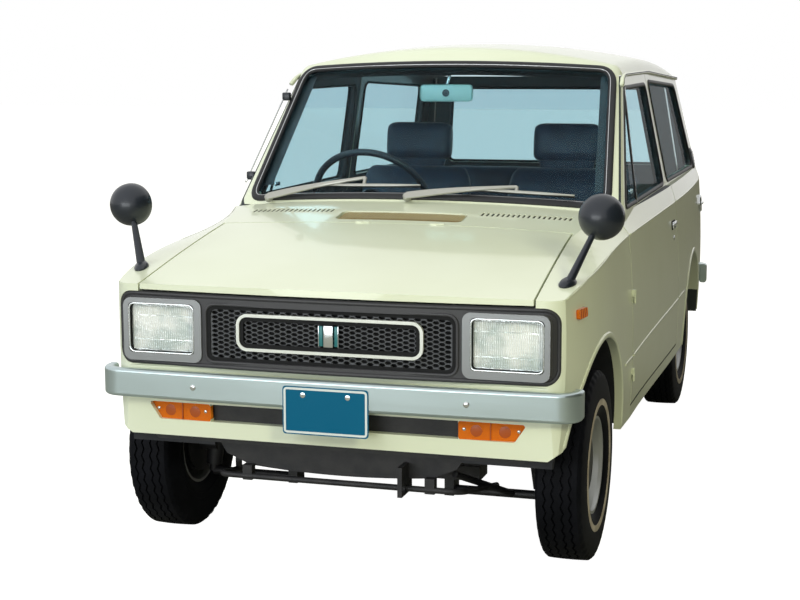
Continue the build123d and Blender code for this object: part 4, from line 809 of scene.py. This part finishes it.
def make_fascia_trim():
    """Raised rim round the lamp panel, the rounded edge of the grille opening with a band of painted shade inside it, a
    band of painted shade inside the grille ring, and the plain badge plate.
    """
    strip("fascia_rim", surface("grille_panel"), [(x, AHEAD_Y, z) for x, z in front_loop(FASCIA, 0.006, 0.03)],
          (0, 1, 0), half_round(0.011, 0.005, 6), "panel_black", closed=True)
    # Near black band inside the grille opening's edge: painted shade.
    flat_loop("grille_painted_shade_band", front_loop(GRILLE_OPENING, 0.004, 0.022), GRILLE_FACE_Y, -1, flat_strip(0.012, 0.002),
              "dark")
    flat_loop("grille_edge", front_loop(GRILLE_OPENING, -0.003, 0.024), GRILLE_EDGE_Y, -1, half_round(0.008, 0.0035, 5),
              "panel_black")
    low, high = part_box("grille_ring")
    # Near black band just inside the grille ring: painted shade.
    flat_loop("ring_painted_shade_band", front_loop((low.x, high.x, low.z, high.z), 0.013, 0.012), GRILLE_FACE_Y, -1,
              flat_strip(0.011, 0.004), "dark")
    front, middle_z = low.y + 0.001, (low.z + high.z) / 2
    join_meshes("badge_plate", [box_mesh((0, front + 0.004, middle_z), (0.026, 0.008, 0.056), 0.002)], "bright")
    for name, x, size, bevel, finish in (("badge_sides", 0.0205, (0.010, 0.006, 0.052), 0.0015, "teal"),
                                         ("badge_rims", 0.0262, (0.0022, 0.008, 0.054), 0.0006, "bright")):
        join_meshes(name, [box_mesh((s * x, front + 0.006, middle_z), size, bevel) for s in (-1, 1)], finish)


def make_turn_lamps():
    """Screws, dividing rib and the bulbs that show through the front turn lamps."""
    tree = surface("amber_lamps", "front_valance")
    screws, bulbs, ribs = [], [], []

    def cast_back(x, z):
        return cast(tree, (x, AHEAD_Y, z), (0, 1, 0))

    for s in (-1, 1):
        for x in (0.350, 0.488):
            screws.append(turned(*cast_back(s * x, TURN_LAMP_Z + 0.003), bolt_head(0.0045, 0.0025), 14))
        for x in (0.381, 0.453):
            bulbs.append(turned(*cast_back(s * x, TURN_LAMP_Z),
                                [(-0.001, 0.015), (0.0006, 0.015), (0.0012, 0.010), (0.0014, 0.0004)], 24))
        hit, _ = cast_back(s * 0.417, TURN_LAMP_Z + 0.0005)
        ribs.append(box_mesh(hit - Vector((0, 0.0008, 0)), (0.0026, 0.004, 0.045)))
    join_meshes("turn_lamp_screws", screws, "bright")
    join_meshes("turn_lamp_bulbs", bulbs, "bulb_shade")
    join_meshes("turn_lamp_ribs", ribs, "bulb_shade")


# Centre vent of the cowl: first y, last y, half width, and the rows and columns of its mesh.
CENTRE_VENT = (-0.866, -0.772, 0.188, 7, 34)
DECK_HALF = 0.215
LOUVRES = 18


def make_cowl_vents():
    """Expanded metal in the centre vent, tan as painted shade on its cream paint, and the duct under the louvres, near
    black as painted shade.
    """
    tree = surface("cowl_panel")
    y_from, y_to, half, rows, columns = CENTRE_VENT
    front, _ = cast_down(tree, 0, y_from - 0.008)
    back, _ = cast_down(tree, 0, y_to + 0.010)

    def deck(x, y):
        share = (y - front.y) / (back.y - front.y)
        side, _ = cast_down(tree, DECK_HALF if x >= 0 else -DECK_HALF, y)
        middle = front.z + (back.z - front.z) * share
        edge = side.z if side is not None else middle
        return middle + (edge - middle) * (x / DECK_HALF) ** 2 - 0.004

    heights = {}
    strands = []
    for k in range(columns + rows + 1):
        for lean in (-1, 1):
            line = []
            for r in range(rows * 2 + 1):
                y = y_from + (y_to - y_from) * r / (rows * 2)
                x = -half + (k - rows / 2) * 2 * half / columns + lean * (r / 2 - rows / 2) * 2 * half / columns
                if abs(x) < half:
                    key = (round(x, 4), round(y, 4))
                    heights[key] = heights.get(key) or deck(x, y)
                    line.append(Vector((x, y, heights[key])))
            if len(line) > 2:
                strands.append(sweep_mesh(line, Vector((0, 0, 1)), flat_strip(0.0018, 0.0005, 0.0005)))
    # The mesh is tan, painted shade on cream paint.
    join_meshes("cowl_mesh", strands, "mesh_painted_shade", smooth=False)
    middle_y = (y_from + y_to) / 2
    # Near black duct under the centre vent and the louvres: painted shade.
    duct = [box_mesh((0, middle_y, deck(0.1, middle_y) - 0.016), (2 * half - 0.002, 0.090, 0.004))]
    for louvre in range(LOUVRES):
        for s in (-1, 1):
            x, y = s * (0.228 + 0.0148 * louvre), -0.764 + 0.0012 * louvre
            near, _ = cast_down(tree, x + 0.0072, y - 0.015)
            far, _ = cast_down(tree, x + 0.0072, y + 0.015)
            if near is None or far is None:
                continue
            slope = math.atan2(far.z - near.z, 0.030)
            duct.append(box_mesh((x, y, (near.z + far.z) / 2 - 0.0026), (0.0064, 0.039, 0.0012), 0,
                                 Matrix.Rotation(slope, 3, "X")))
    join_meshes("cowl_duct_painted_shade", duct, "dark")


# Wiper arms: hub, elbow and the blade's ends.
WIPERS = [
    ((-0.485, -0.630, 0.905), (-0.177, -0.606, 0.966), (-0.326, -0.612, 0.940), (0.004, -0.632, 0.947)),
    ((-0.030, -0.666, 0.921), (0.293, -0.611, 0.948), (0.128, -0.632, 0.941), (0.463, -0.604, 0.924)),
]
SCREEN_OUT = Vector((0, -0.72, 0.69))
ARM_WIDTHS = [0.024, 0.024, 0.022, 0.019, 0.016, 0.014, 0.012, 0.011, 0.010]
BLADE_WIDTHS = [0.004, 0.006, 0.008, 0.009, 0.009, 0.009, 0.008, 0.006, 0.004]
BAR_SECTION = ((0.5, -0.5), (0.5, 0.2), (0.32, 0.5), (-0.32, 0.5), (-0.5, 0.2), (-0.5, -0.5))


def tapered_bar(path, widths, thick):
    """Vertices and faces of a flat bar along the windscreen whose width changes along its path."""
    places = places_along(path, SCREEN_OUT)
    return lofted([[point + across * a * width + out * o * thick for a, o in BAR_SECTION]
                   for (point, across, out), width in zip(places, widths)])


def make_wipers():
    """Tapered silver arms and bridged blades, in place of the plain ones."""
    out = SCREEN_OUT
    steel, rubber = [], []
    for points in WIPERS:
        hub, elbow, start, end = (Vector(point) for point in points)
        hold = start + (end - start) * ((elbow.x - start.x) / (end.x - start.x))
        arm = [hub + (elbow - hub) * t + out * 0.007 * math.sin(math.pi * t) for t in spread(0, 1, 9)]
        blade = [start + (end - start) * t for t in spread(0, 1, 9)]
        steel += [
            tapered_bar(arm, ARM_WIDTHS, 0.007),
            tapered_bar([elbow, (elbow + hold) / 2 + out * 0.002, hold], [0.010, 0.010, 0.012], 0.006),
            turned(hub - out * 0.016, out, [(0, 0.012), (0.014, 0.012), (0.018, 0.009), (0.020, 0.0005)]),
            tapered_bar([p + out * 0.003 for p in blade], BLADE_WIDTHS, 0.004),
        ]
        rubber.append(tapered_bar([p - out * 0.003 for p in blade], [0.0045] * 9, 0.007))
    metal = join_meshes("wiper_arms", steel, "wiper_metal")
    join_meshes("wiper_rubbers", rubber, "rubber")
    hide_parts("wipers")


MIRROR_FOOT = Vector((0.581, -1.324, 0.762))
MIRROR_HEAD = Vector((0.651, -1.240, 0.931))
DOME_R, DOME_LONG = 0.0585, 0.0535
# Rings of a mirror's foot, and of a pillar vent: height over the skin and scale.
FOOT_LEVELS = ((-0.002, 1.0), (0.004, 1.0), (0.011, 0.78), (0.015, 0.5))
VENT_LEVELS = ((-0.001, 1.0), (0.004, 1.0), (0.007, 0.86), (0.0075, 0.80))


def raised_oval(centre, normal, a, b, levels, steps):
    """Vertices and faces of an oval that rises from the skin."""
    return lofted([oval(centre + normal * rise, a * scale, b * scale, steps) for rise, scale in levels])


def make_mirrors():
    """Bullet mirrors on their stalks."""
    tree = surface("fenders")
    black, glass, feet = [], [], []
    dome = [(DOME_LONG * math.cos(math.radians(a)), DOME_R * math.sin(math.radians(a))) for a in spread(1, 90, 16)]
    dome += [(-0.006, 0.0588), (-0.013, 0.0580), (-0.0155, 0.0555), (-0.0155, 0.0520), (-0.012, 0.0505)]
    for s in (1, -1):
        head, foot = (Vector((s * at.x, at.y, at.z)) for at in (MIRROR_HEAD, MIRROR_FOOT))
        black.append(turned(head, (0, -1, 0), dome, 48))
        glass.append(turned(head, (0, -1, 0), [(-0.013, 0.0515), (-0.0135, 0.03), (-0.0138, 0.0005)], 48))
        way = (head - foot).normalized()
        reach = (head - foot).length - 0.040
        across = way.cross(Vector((0, 1, 0))).normalized()
        third = way.cross(across).normalized()
        stalk = []
        for t in spread(0, 1, 12):
            a, b = (0.0115 - 0.0045 * t, 0.0155 - 0.0065 * t) if t < 0.9 else (0.0085, 0.0105)
            stalk.append(oval(foot + way * (reach * t + 0.004), across * a, third * b, 20))
        black.append(lofted(stalk))
        hit, normal = cast_down(tree, s * (MIRROR_FOOT.x + 0.002), MIRROR_FOOT.y)
        along = Vector((s * 0.25, 1, 0.12)).normalized()
        along = (along - normal * along.dot(normal)).normalized()
        feet.append(raised_oval(hit, normal, along * 0.036, normal.cross(along) * 0.019, FOOT_LEVELS, 28))
    shells = join_meshes("mirror_shells", black, "mirror_black")
    join_meshes("mirror_glasses", glass, "bright")
    join_meshes("mirror_feet", feet, "mirror_black")
    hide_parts("fender_mirrors")


def make_aerial():
    """Rod aerial up the right windscreen pillar, in two clips."""
    low, high = Vector((-0.606, -0.510, 0.936)), Vector((-0.5415, -0.296, 1.2225))
    path = [low + (high - low) * t for t in spread(0, 1, 12)]
    mesh_piece("aerial_rod", sweep_mesh(path, Vector((-1, 0, 0)), round_section(0.0026, 8)), "bright")
    clips = [box_mesh(low + (high - low) * t + Vector((0.008, 0, 0)), (0.026, 0.020, 0.026), 0.004)
             for t in (0.07, 0.92)]
    join_meshes("aerial_clips", clips, "mirror_black")


PLATE_HALF_X, PLATE_HALF_Z = 0.115, 0.0625
PLATE_FACE_IN, PLATE_BACK_IN = 0.0010, 0.0020


def make_plates():
    """Blank plates with their white border and two screws, within the solids' thickness."""
    low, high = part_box("number_plates")
    slabs, screws = [], []
    for label, y, z, out in (("front", low.y, 0.4435, -1), ("rear", high.y, 0.4115, 1)):
        face_y = y - out * PLATE_FACE_IN
        box = (-PLATE_HALF_X, PLATE_HALF_X, z - PLATE_HALF_Z, z + PLATE_HALF_Z)
        outline = front_loop(box, 0, 0.008, 0.003)
        slabs.append(lofted([[Vector((x, at, v)) for x, v in outline] for at in (face_y, y - out * PLATE_BACK_IN)]))
        section = [(0.0028, -0.0004), (0.0028, 0.0006), (-0.0028, 0.0006), (-0.0028, -0.0004)]
        flat_loop(f"plate_border_{label}", front_loop(box, 0.006, 0.006, 0.003), face_y, out, section, "plate_white")
        for x in (-0.060, 0.060):
            screws.append(turned((x, face_y, z + 0.040), (0, out, 0),
                                 [(-0.0004, 0.0068), (0.0004, 0.0068), (0.0008, 0.005), (0.0009, 0.0004)], 18))
    plates = join_meshes("plates", slabs, "plate")
    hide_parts("number_plates")
    join_meshes("plate_screws", screws, "bright")


def make_bumper_bolts():
    """Round bolt heads, two on each bumper."""
    tree = surface("front_bumper", "rear_bumper")
    bolts = []
    for y, z in ((AHEAD_Y, 0.484), (BEHIND_Y, 0.436)):
        for x in (-0.366, 0.366):
            hit, normal = cast(tree, (x, y, z), (0, -math.copysign(1, y), 0))
            bolts.append(turned(hit - normal * 0.001, normal, bolt_head(0.008, 0.004)))
    join_meshes("bumper_bolts", bolts, "bright")


# ---------------------------------------------------------------- cabin
FRONT_SEAT_X = 0.267
REST_HALF = 0.116
DASH_Y = -0.440
DIALS = ((-0.315, 0.782), (-0.185, 0.782))
KNOBS = ((-0.078, 0.76), (0.078, 0.76), (0.0, 0.70), (-0.05, 0.70), (0.05, 0.70), (0.30, 0.778))
INSIDE_MIRROR = Vector((-0.018, -0.2565, 1.2115))


def padded_form(sections, power=3.0, steps=40):
    """Vertices and faces of a stuffed form: rings (centre, a, b) about two half-axis vectors each."""
    def squared(share):
        return math.copysign(abs(share) ** (2 / power), share)

    return lofted([[centre + a * squared(math.cos(turn)) + b * squared(math.sin(turn)) for turn in full_turn(steps)]
                   for centre, a, b in sections])


def swell(t, soft):
    """1 in the middle and falling to a rounded edge at 0 and 1."""
    edge = min(t, 1 - t) / soft
    return 1.0 if edge >= 1 else math.sqrt(max(1 - (1 - edge) ** 2, 0.0))


def cushion(low, high, deep_low, deep_high, half_low, half_high, soft, x):
    """A pad along the line low-high (y, z), with half depths and half widths at both ends."""
    low, high = Vector((x, *low)), Vector((x, *high))
    normal = (high - low).normalized().cross(Vector((1, 0, 0))).normalized()
    sections = []
    for t in eased(18):
        fat = max(swell(t, soft), 0.05)
        wide = half_low + (half_high - half_low) * t
        deep = deep_low + (deep_high - deep_low) * t
        sections.append((low + (high - low) * t, Vector((wide * (0.80 + 0.20 * fat), 0, 0)), normal * deep * fat))
    return padded_form(sections)


def head_restraint(x):
    """The restraint's pad and the neck that it stands on."""
    sections = []
    for t in eased(18):
        fat = max(swell(t, 0.16), 0.1)
        sections.append((Vector((x + REST_HALF * (2 * t - 1), 0.307, 1.025)),
                         Vector((0, 0.010, 0.066)) * (0.72 + 0.28 * fat),
                         Vector((0, 0.040, -0.006)) * (0.45 + 0.55 * fat)))
    neck = [(Vector((x, 0.293, 0.925)), Vector((0.088, 0, 0)), Vector((0, 0.016, 0))),
            (Vector((x, 0.300, 0.985)), Vector((0.106, 0, 0)), Vector((0, 0.026, 0)))]
    return [padded_form(sections, 3.2), padded_form(neck)]


def make_seats():
    """Stuffed front seats with head restraints, and the rear bench."""
    pads, frames = [], []
    for x in (-FRONT_SEAT_X, FRONT_SEAT_X):
        pads += [cushion((0.135, 0.452), (-0.318, 0.474), 0.050, 0.062, 0.214, 0.218, 0.22, x),
                 cushion((0.150, 0.470), (0.283, 0.939), 0.058, 0.040, 0.206, 0.196, 0.16, x), *head_restraint(x)]
        frames.append(box_mesh((x, -0.075, 0.366), (0.316, 0.390, 0.132), 0.008))
        frames += [box_mesh((x + s * 0.140, -0.075, 0.318), (0.022, 0.46, 0.012), 0.003) for s in (-1, 1)]
    seats = join_meshes("front_seat_pads", pads, "seat_cloth")
    join_meshes("front_seat_frames", frames, "iron")
    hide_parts("front_seats")
    bench = [cushion((0.958, 0.524), (0.566, 0.538), 0.044, 0.050, 0.412, 0.412, 0.2, 0.0),
             cushion((0.945, 0.552), (1.026, 0.886), 0.042, 0.034, 0.412, 0.408, 0.14, 0.0)]
    rear = join_meshes("rear_seat_pads", bench, "seat_cloth")
    join_meshes("rear_seat_frame", [box_mesh((0, 0.76, 0.480), (0.80, 0.36, 0.028), 0.004)], "iron")
    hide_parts("rear_seat")


def dash_turned(name, places, lift, profile, steps, finish):
    """One turned form at each place (x, z) on the dashboard."""
    forms = [turned((x, DASH_Y + lift, z), (0, 1, 0), profile, steps) for x, z in places]
    join_meshes(name, forms, finish)


def make_cabin_fittings():
    """Inside mirror, instrument dials, dashboard panels and knobs, and door fittings."""
    join_meshes("inside_mirror", [box_mesh(INSIDE_MIRROR, (0.172, 0.014, 0.054), 0.012)], "mirror_plastic")
    knob = turned(INSIDE_MIRROR - Vector((0, 0.007, 0)), (0, -1, 0), [(0, 0.012), (0.004, 0.011), (0.006, 0.0004)])
    join_meshes("inside_mirror_knob", [knob], "mirror_black")
    stem = [Vector((-0.018, -0.252, 1.232)), Vector((-0.010, -0.212, 1.300))]
    mesh_piece("inside_mirror_stem", sweep_mesh(stem, Vector((1, 0, 0)), round_section(0.005)), "bright")
    rim = [(-0.002, 0.050), (0.004, 0.050), (0.005, 0.046), (0.002, 0.044), (0.002, 0.0005)]
    dash_turned("dial_rims", DIALS, 0, rim, 36, "bright")
    dash_turned("dial_faces", DIALS, 0.0022, [(0, 0.0435), (0.0008, 0.043), (0.0009, 0.0005)], 36, "dark")
    panels = [box_mesh((0.0, DASH_Y + 0.002, 0.760), (0.19, 0.005, 0.05), 0.002),
              box_mesh((0.30, DASH_Y + 0.002, 0.740), (0.30, 0.005, 0.10), 0.004)]
    join_meshes("dash_panels", panels, "panel_black")
    dash_turned("dash_knobs", KNOBS, 0.004, [(0, 0.008), (0.010, 0.008), (0.014, 0.006), (0.015, 0.0005)], 18, "bright")
    for hand, s in HANDS:
        body = f"door_{hand}"
        tree = surface(body)
        hit, normal = cast(tree, (0, 0.06, 0.640), (s, 0, 0))
        join_meshes(f"armrest_{hand}", [box_mesh(hit + normal * 0.020, (0.044, 0.26, 0.034), 0.010)], "dash", body)
        hit, normal = cast(tree, (0, -0.22, 0.660), (s, 0, 0))
        fittings = [turned(hit, normal, [(0, 0.018), (0.012, 0.016), (0.018, 0.012), (0.018, 0.0005)]),
                    box_mesh(hit + normal * 0.018 + Vector((0, 0.035, -0.006)), (0.008, 0.080, 0.012), 0.003)]
        hit, normal = cast(tree, (0, -0.02, 0.740), (s, 0, 0))
        fittings.append(box_mesh(hit + normal * 0.008, (0.012, 0.075, 0.016), 0.003))
        join_meshes(f"door_winder_{hand}", fittings, "bright", body)


# ---------------------------------------------------------------- tail
TAIL_LAMP = (0.531, 0.589, 0.563, 0.765)


def make_tail_details():
    """Tailgate handle and lock with a near black patch of painted shade in the handle's recess, plate lamp, tail lamp
    frames, filler cap and the pillar vents.
    """
    forward = (0, -1, 0)
    hit, normal = cast(surface("tailgate"), (0, BEHIND_Y, 0.640), forward)
    up, turn = level_turn(Vector((1, 0, 0)), normal)
    # Near black patch in the handle's recess: painted shade.
    join_meshes("gate_handle_painted_shade", [box_mesh(hit + normal * 0.001, (0.140, 0.034, 0.004), 0.001, turn)], "dark",
                "tailgate")
    bright = [box_mesh(hit + normal * 0.008 + up * 0.006, (0.126, 0.016, 0.012), 0.004, turn),
              turned(hit - up * 0.045, normal, [(-0.001, 0.010), (0.003, 0.010), (0.004, 0.0005)])]
    join_meshes("gate_handle", bright, "bright", "tailgate")
    _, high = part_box("number_plates")
    join_meshes("plate_lamp", [box_mesh((0, high.y - 0.020, 0.483), (0.085, 0.030, 0.014), 0.004)], "mirror_black")
    lamps, quarters = surface("tail_lamps"), surface("quarter_panels")
    for hand, s in HANDS:
        starts = [(s * x, BEHIND_Y, z) for x, z in front_loop(TAIL_LAMP, 0, 0.008)]
        strip(f"tail_lamp_frame_{hand}", lamps, starts, forward, half_round(0.006, 0.003, 4), "bright", closed=True)
        bars = []
        for z in (0.636, 0.700):
            path = skin_path(lamps, [(s * x, BEHIND_Y, z) for x in spread(0.534, 0.586, 5)], forward)
            bars.append(sweep_mesh(*path, flat_strip(0.003, 0.0015)))
        join_meshes(f"tail_lamp_bars_{hand}", bars, "bright")
        point, normal = cast_side(quarters, s, 1.300, 0.912)
        side = Vector((0, 1, 0))
        side = (side - normal * side.dot(normal)).normalized()
        up, turn = level_turn(side, normal)
        vent = [raised_oval(point, normal, side * 0.030, up * 0.042, VENT_LEVELS, 32)]
        vent += [box_mesh(point + normal * 0.008 + up * v, (0.040, 0.003, 0.004), 0, turn)
                 for v in spread(-0.024, 0.024, 5)]
        join_meshes(f"pillar_vent_{hand}", vent, "mirror_black")
    point, normal = cast_side(quarters, 1, 1.28, 0.735)
    cap = turned(point, normal, [(-0.002, 0.034), (0.006, 0.034), (0.010, 0.031), (0.011, 0.0005)], 40)
    grip = box_mesh(point + normal * 0.012, (0.008, 0.046, 0.010), 0.003)
    join_meshes("filler_cap", [cap, grip], "bright")


# ---------------------------------------------------------------- stage and light
WORLD_COLOUR, WORLD_STRENGTH = (1.0, 0.97, 0.66, 1), 0.33
WHITE = (1, 1, 1, 1)
FLOOR_REACH = 30.0
# Area lights: name, place, size, watts, target, colour and whether glossy surfaces mirror them.
LIGHTS = [
    ("key", (-3.2, -5.2, 4.6), (6.0, 4.6), 196, (0, -0.2, 0.6), (0.95, 1.0, 1.06), False),
    ("front", (-1.6, -7.5, 1.1), (5.0, 1.8), 124, (0, -1.4, 0.5), (0.95, 1.0, 1.03), True),
    ("top", (-0.8, 0.2, 6.0), (4.5, 5.5), 125, (0, -0.2, 0.6), (0.95, 0.98, 1.0), False),
    ("side", (2.7, -4.0, 2.3), (0.9, 0.9), 60, (0.6, -1.2, 0.8), (1.0, 0.98, 0.66), False),
    ("rear", (-3.5, 5.5, 3.5), (3.0, 3.0), 60, (0, -0.2, 0.6), (1, 1, 1), False),
]


def largest(tree, *rays):
    """1 where a ray is of one of these kinds."""
    path = tree.nodes.new("ShaderNodeLightPath")
    result = path.outputs[rays[0]]
    for ray in rays[1:]:
        result = add_node(tree, "ShaderNodeMath", {0: result, 1: path.outputs[ray]}, operation="MAXIMUM")
    return result


def make_world():
    """Light of the surroundings, which the camera, glass and gloss see as white."""
    world = bpy.data.worlds.new("studio")
    bpy.context.scene.world = world
    world.use_nodes = True
    tree = world.node_tree
    light, white = (add_node(tree, "ShaderNodeBackground", {"Color": colour, "Strength": strength})
                    for colour, strength in ((WORLD_COLOUR, WORLD_STRENGTH), (WHITE, 1.0)))
    seen = largest(tree, "Is Camera Ray", "Is Transmission Ray", "Is Glossy Ray")
    tree.links.new(add_node(tree, "ShaderNodeMixShader", {0: seen, 1: light, 2: white}),
                   tree.nodes["World Output"].inputs["Surface"])


def card(name, corners, finish):
    """A flat piece of the stage."""
    mesh = bpy.data.meshes.new(name)
    mesh.from_pydata(corners, [], [(0, 1, 2, 3)])
    mesh.materials.append(finish.material)
    piece = bpy.data.objects.new(name, mesh)
    bpy.context.scene.collection.objects.link(piece)
    return piece


def make_floor():
    """White floor that keeps the shadow. Seen from below, it is clear."""
    finish = Finish("floor_white", (0.36, 0.36, 0.33, 1), 0.95, Specular_IOR_Level=0.0, Emission_Color=WHITE)
    finish.set("Emission Strength", largest(finish.tree, "Is Camera Ray", "Is Transmission Ray"))
    under, clear = finish.add("ShaderNodeNewGeometry", output="Backfacing"), finish.add("ShaderNodeBsdfTransparent")
    sides = finish.add("ShaderNodeMixShader", {0: under, 1: finish.shader.outputs[0], 2: clear})
    finish.tree.links.new(sides, finish.tree.nodes["Material Output"].inputs["Surface"])
    floor = card("floor", [(x * FLOOR_REACH, y * FLOOR_REACH, 0) for x, y in ((-1, -1), (1, -1), (1, 1), (-1, 1))],
                 finish)


def make_flag():
    """Dark card beside the car, out of shot: it shades the left flank and shows in the bumper's end."""
    flag = card("flag", [(3.1, -5.5, 0.0), (3.6, 3.5, 0.0), (3.6, 3.5, 4.2), (3.1, -5.5, 4.2)],
                Finish("flag_black", (0.02, 0.02, 0.018, 1), 1.0))
    flag.visible_camera = False
    flag.visible_transmission = False


def make_lights():
    for name, at, size, power, target, colour, mirrored in LIGHTS:
        data = bpy.data.lights.new(name, "AREA")
        data.shape = "RECTANGLE"
        data.size, data.size_y = size
        data.energy = power
        data.color = colour
        lamp = bpy.data.objects.new(name, data)
        lamp.location = at
        lamp.rotation_euler = (Vector(target) - Vector(at)).to_track_quat("-Z", "Y").to_euler()
        lamp.visible_glossy = mirrored
        bpy.context.scene.collection.objects.link(lamp)


make_camera()
dress_cad_nodes()
make_seals()
for wheel_label, (wheel_x, wheel_y, wheel_side) in WHEELS.items():
    make_tyre(wheel_label, wheel_x, wheel_y, wheel_side)
make_body_lines()
make_drip_rails()
make_doors()
make_headlamps()
make_fascia_trim()
make_turn_lamps()
make_cowl_vents()
make_wipers()
make_mirrors()
make_aerial()
make_plates()
make_bumper_bolts()
make_seats()
make_cabin_fittings()
make_tail_details()
make_world()
make_floor()
make_flag()
make_lights()
bpy.context.scene.view_settings.view_transform = "Standard"
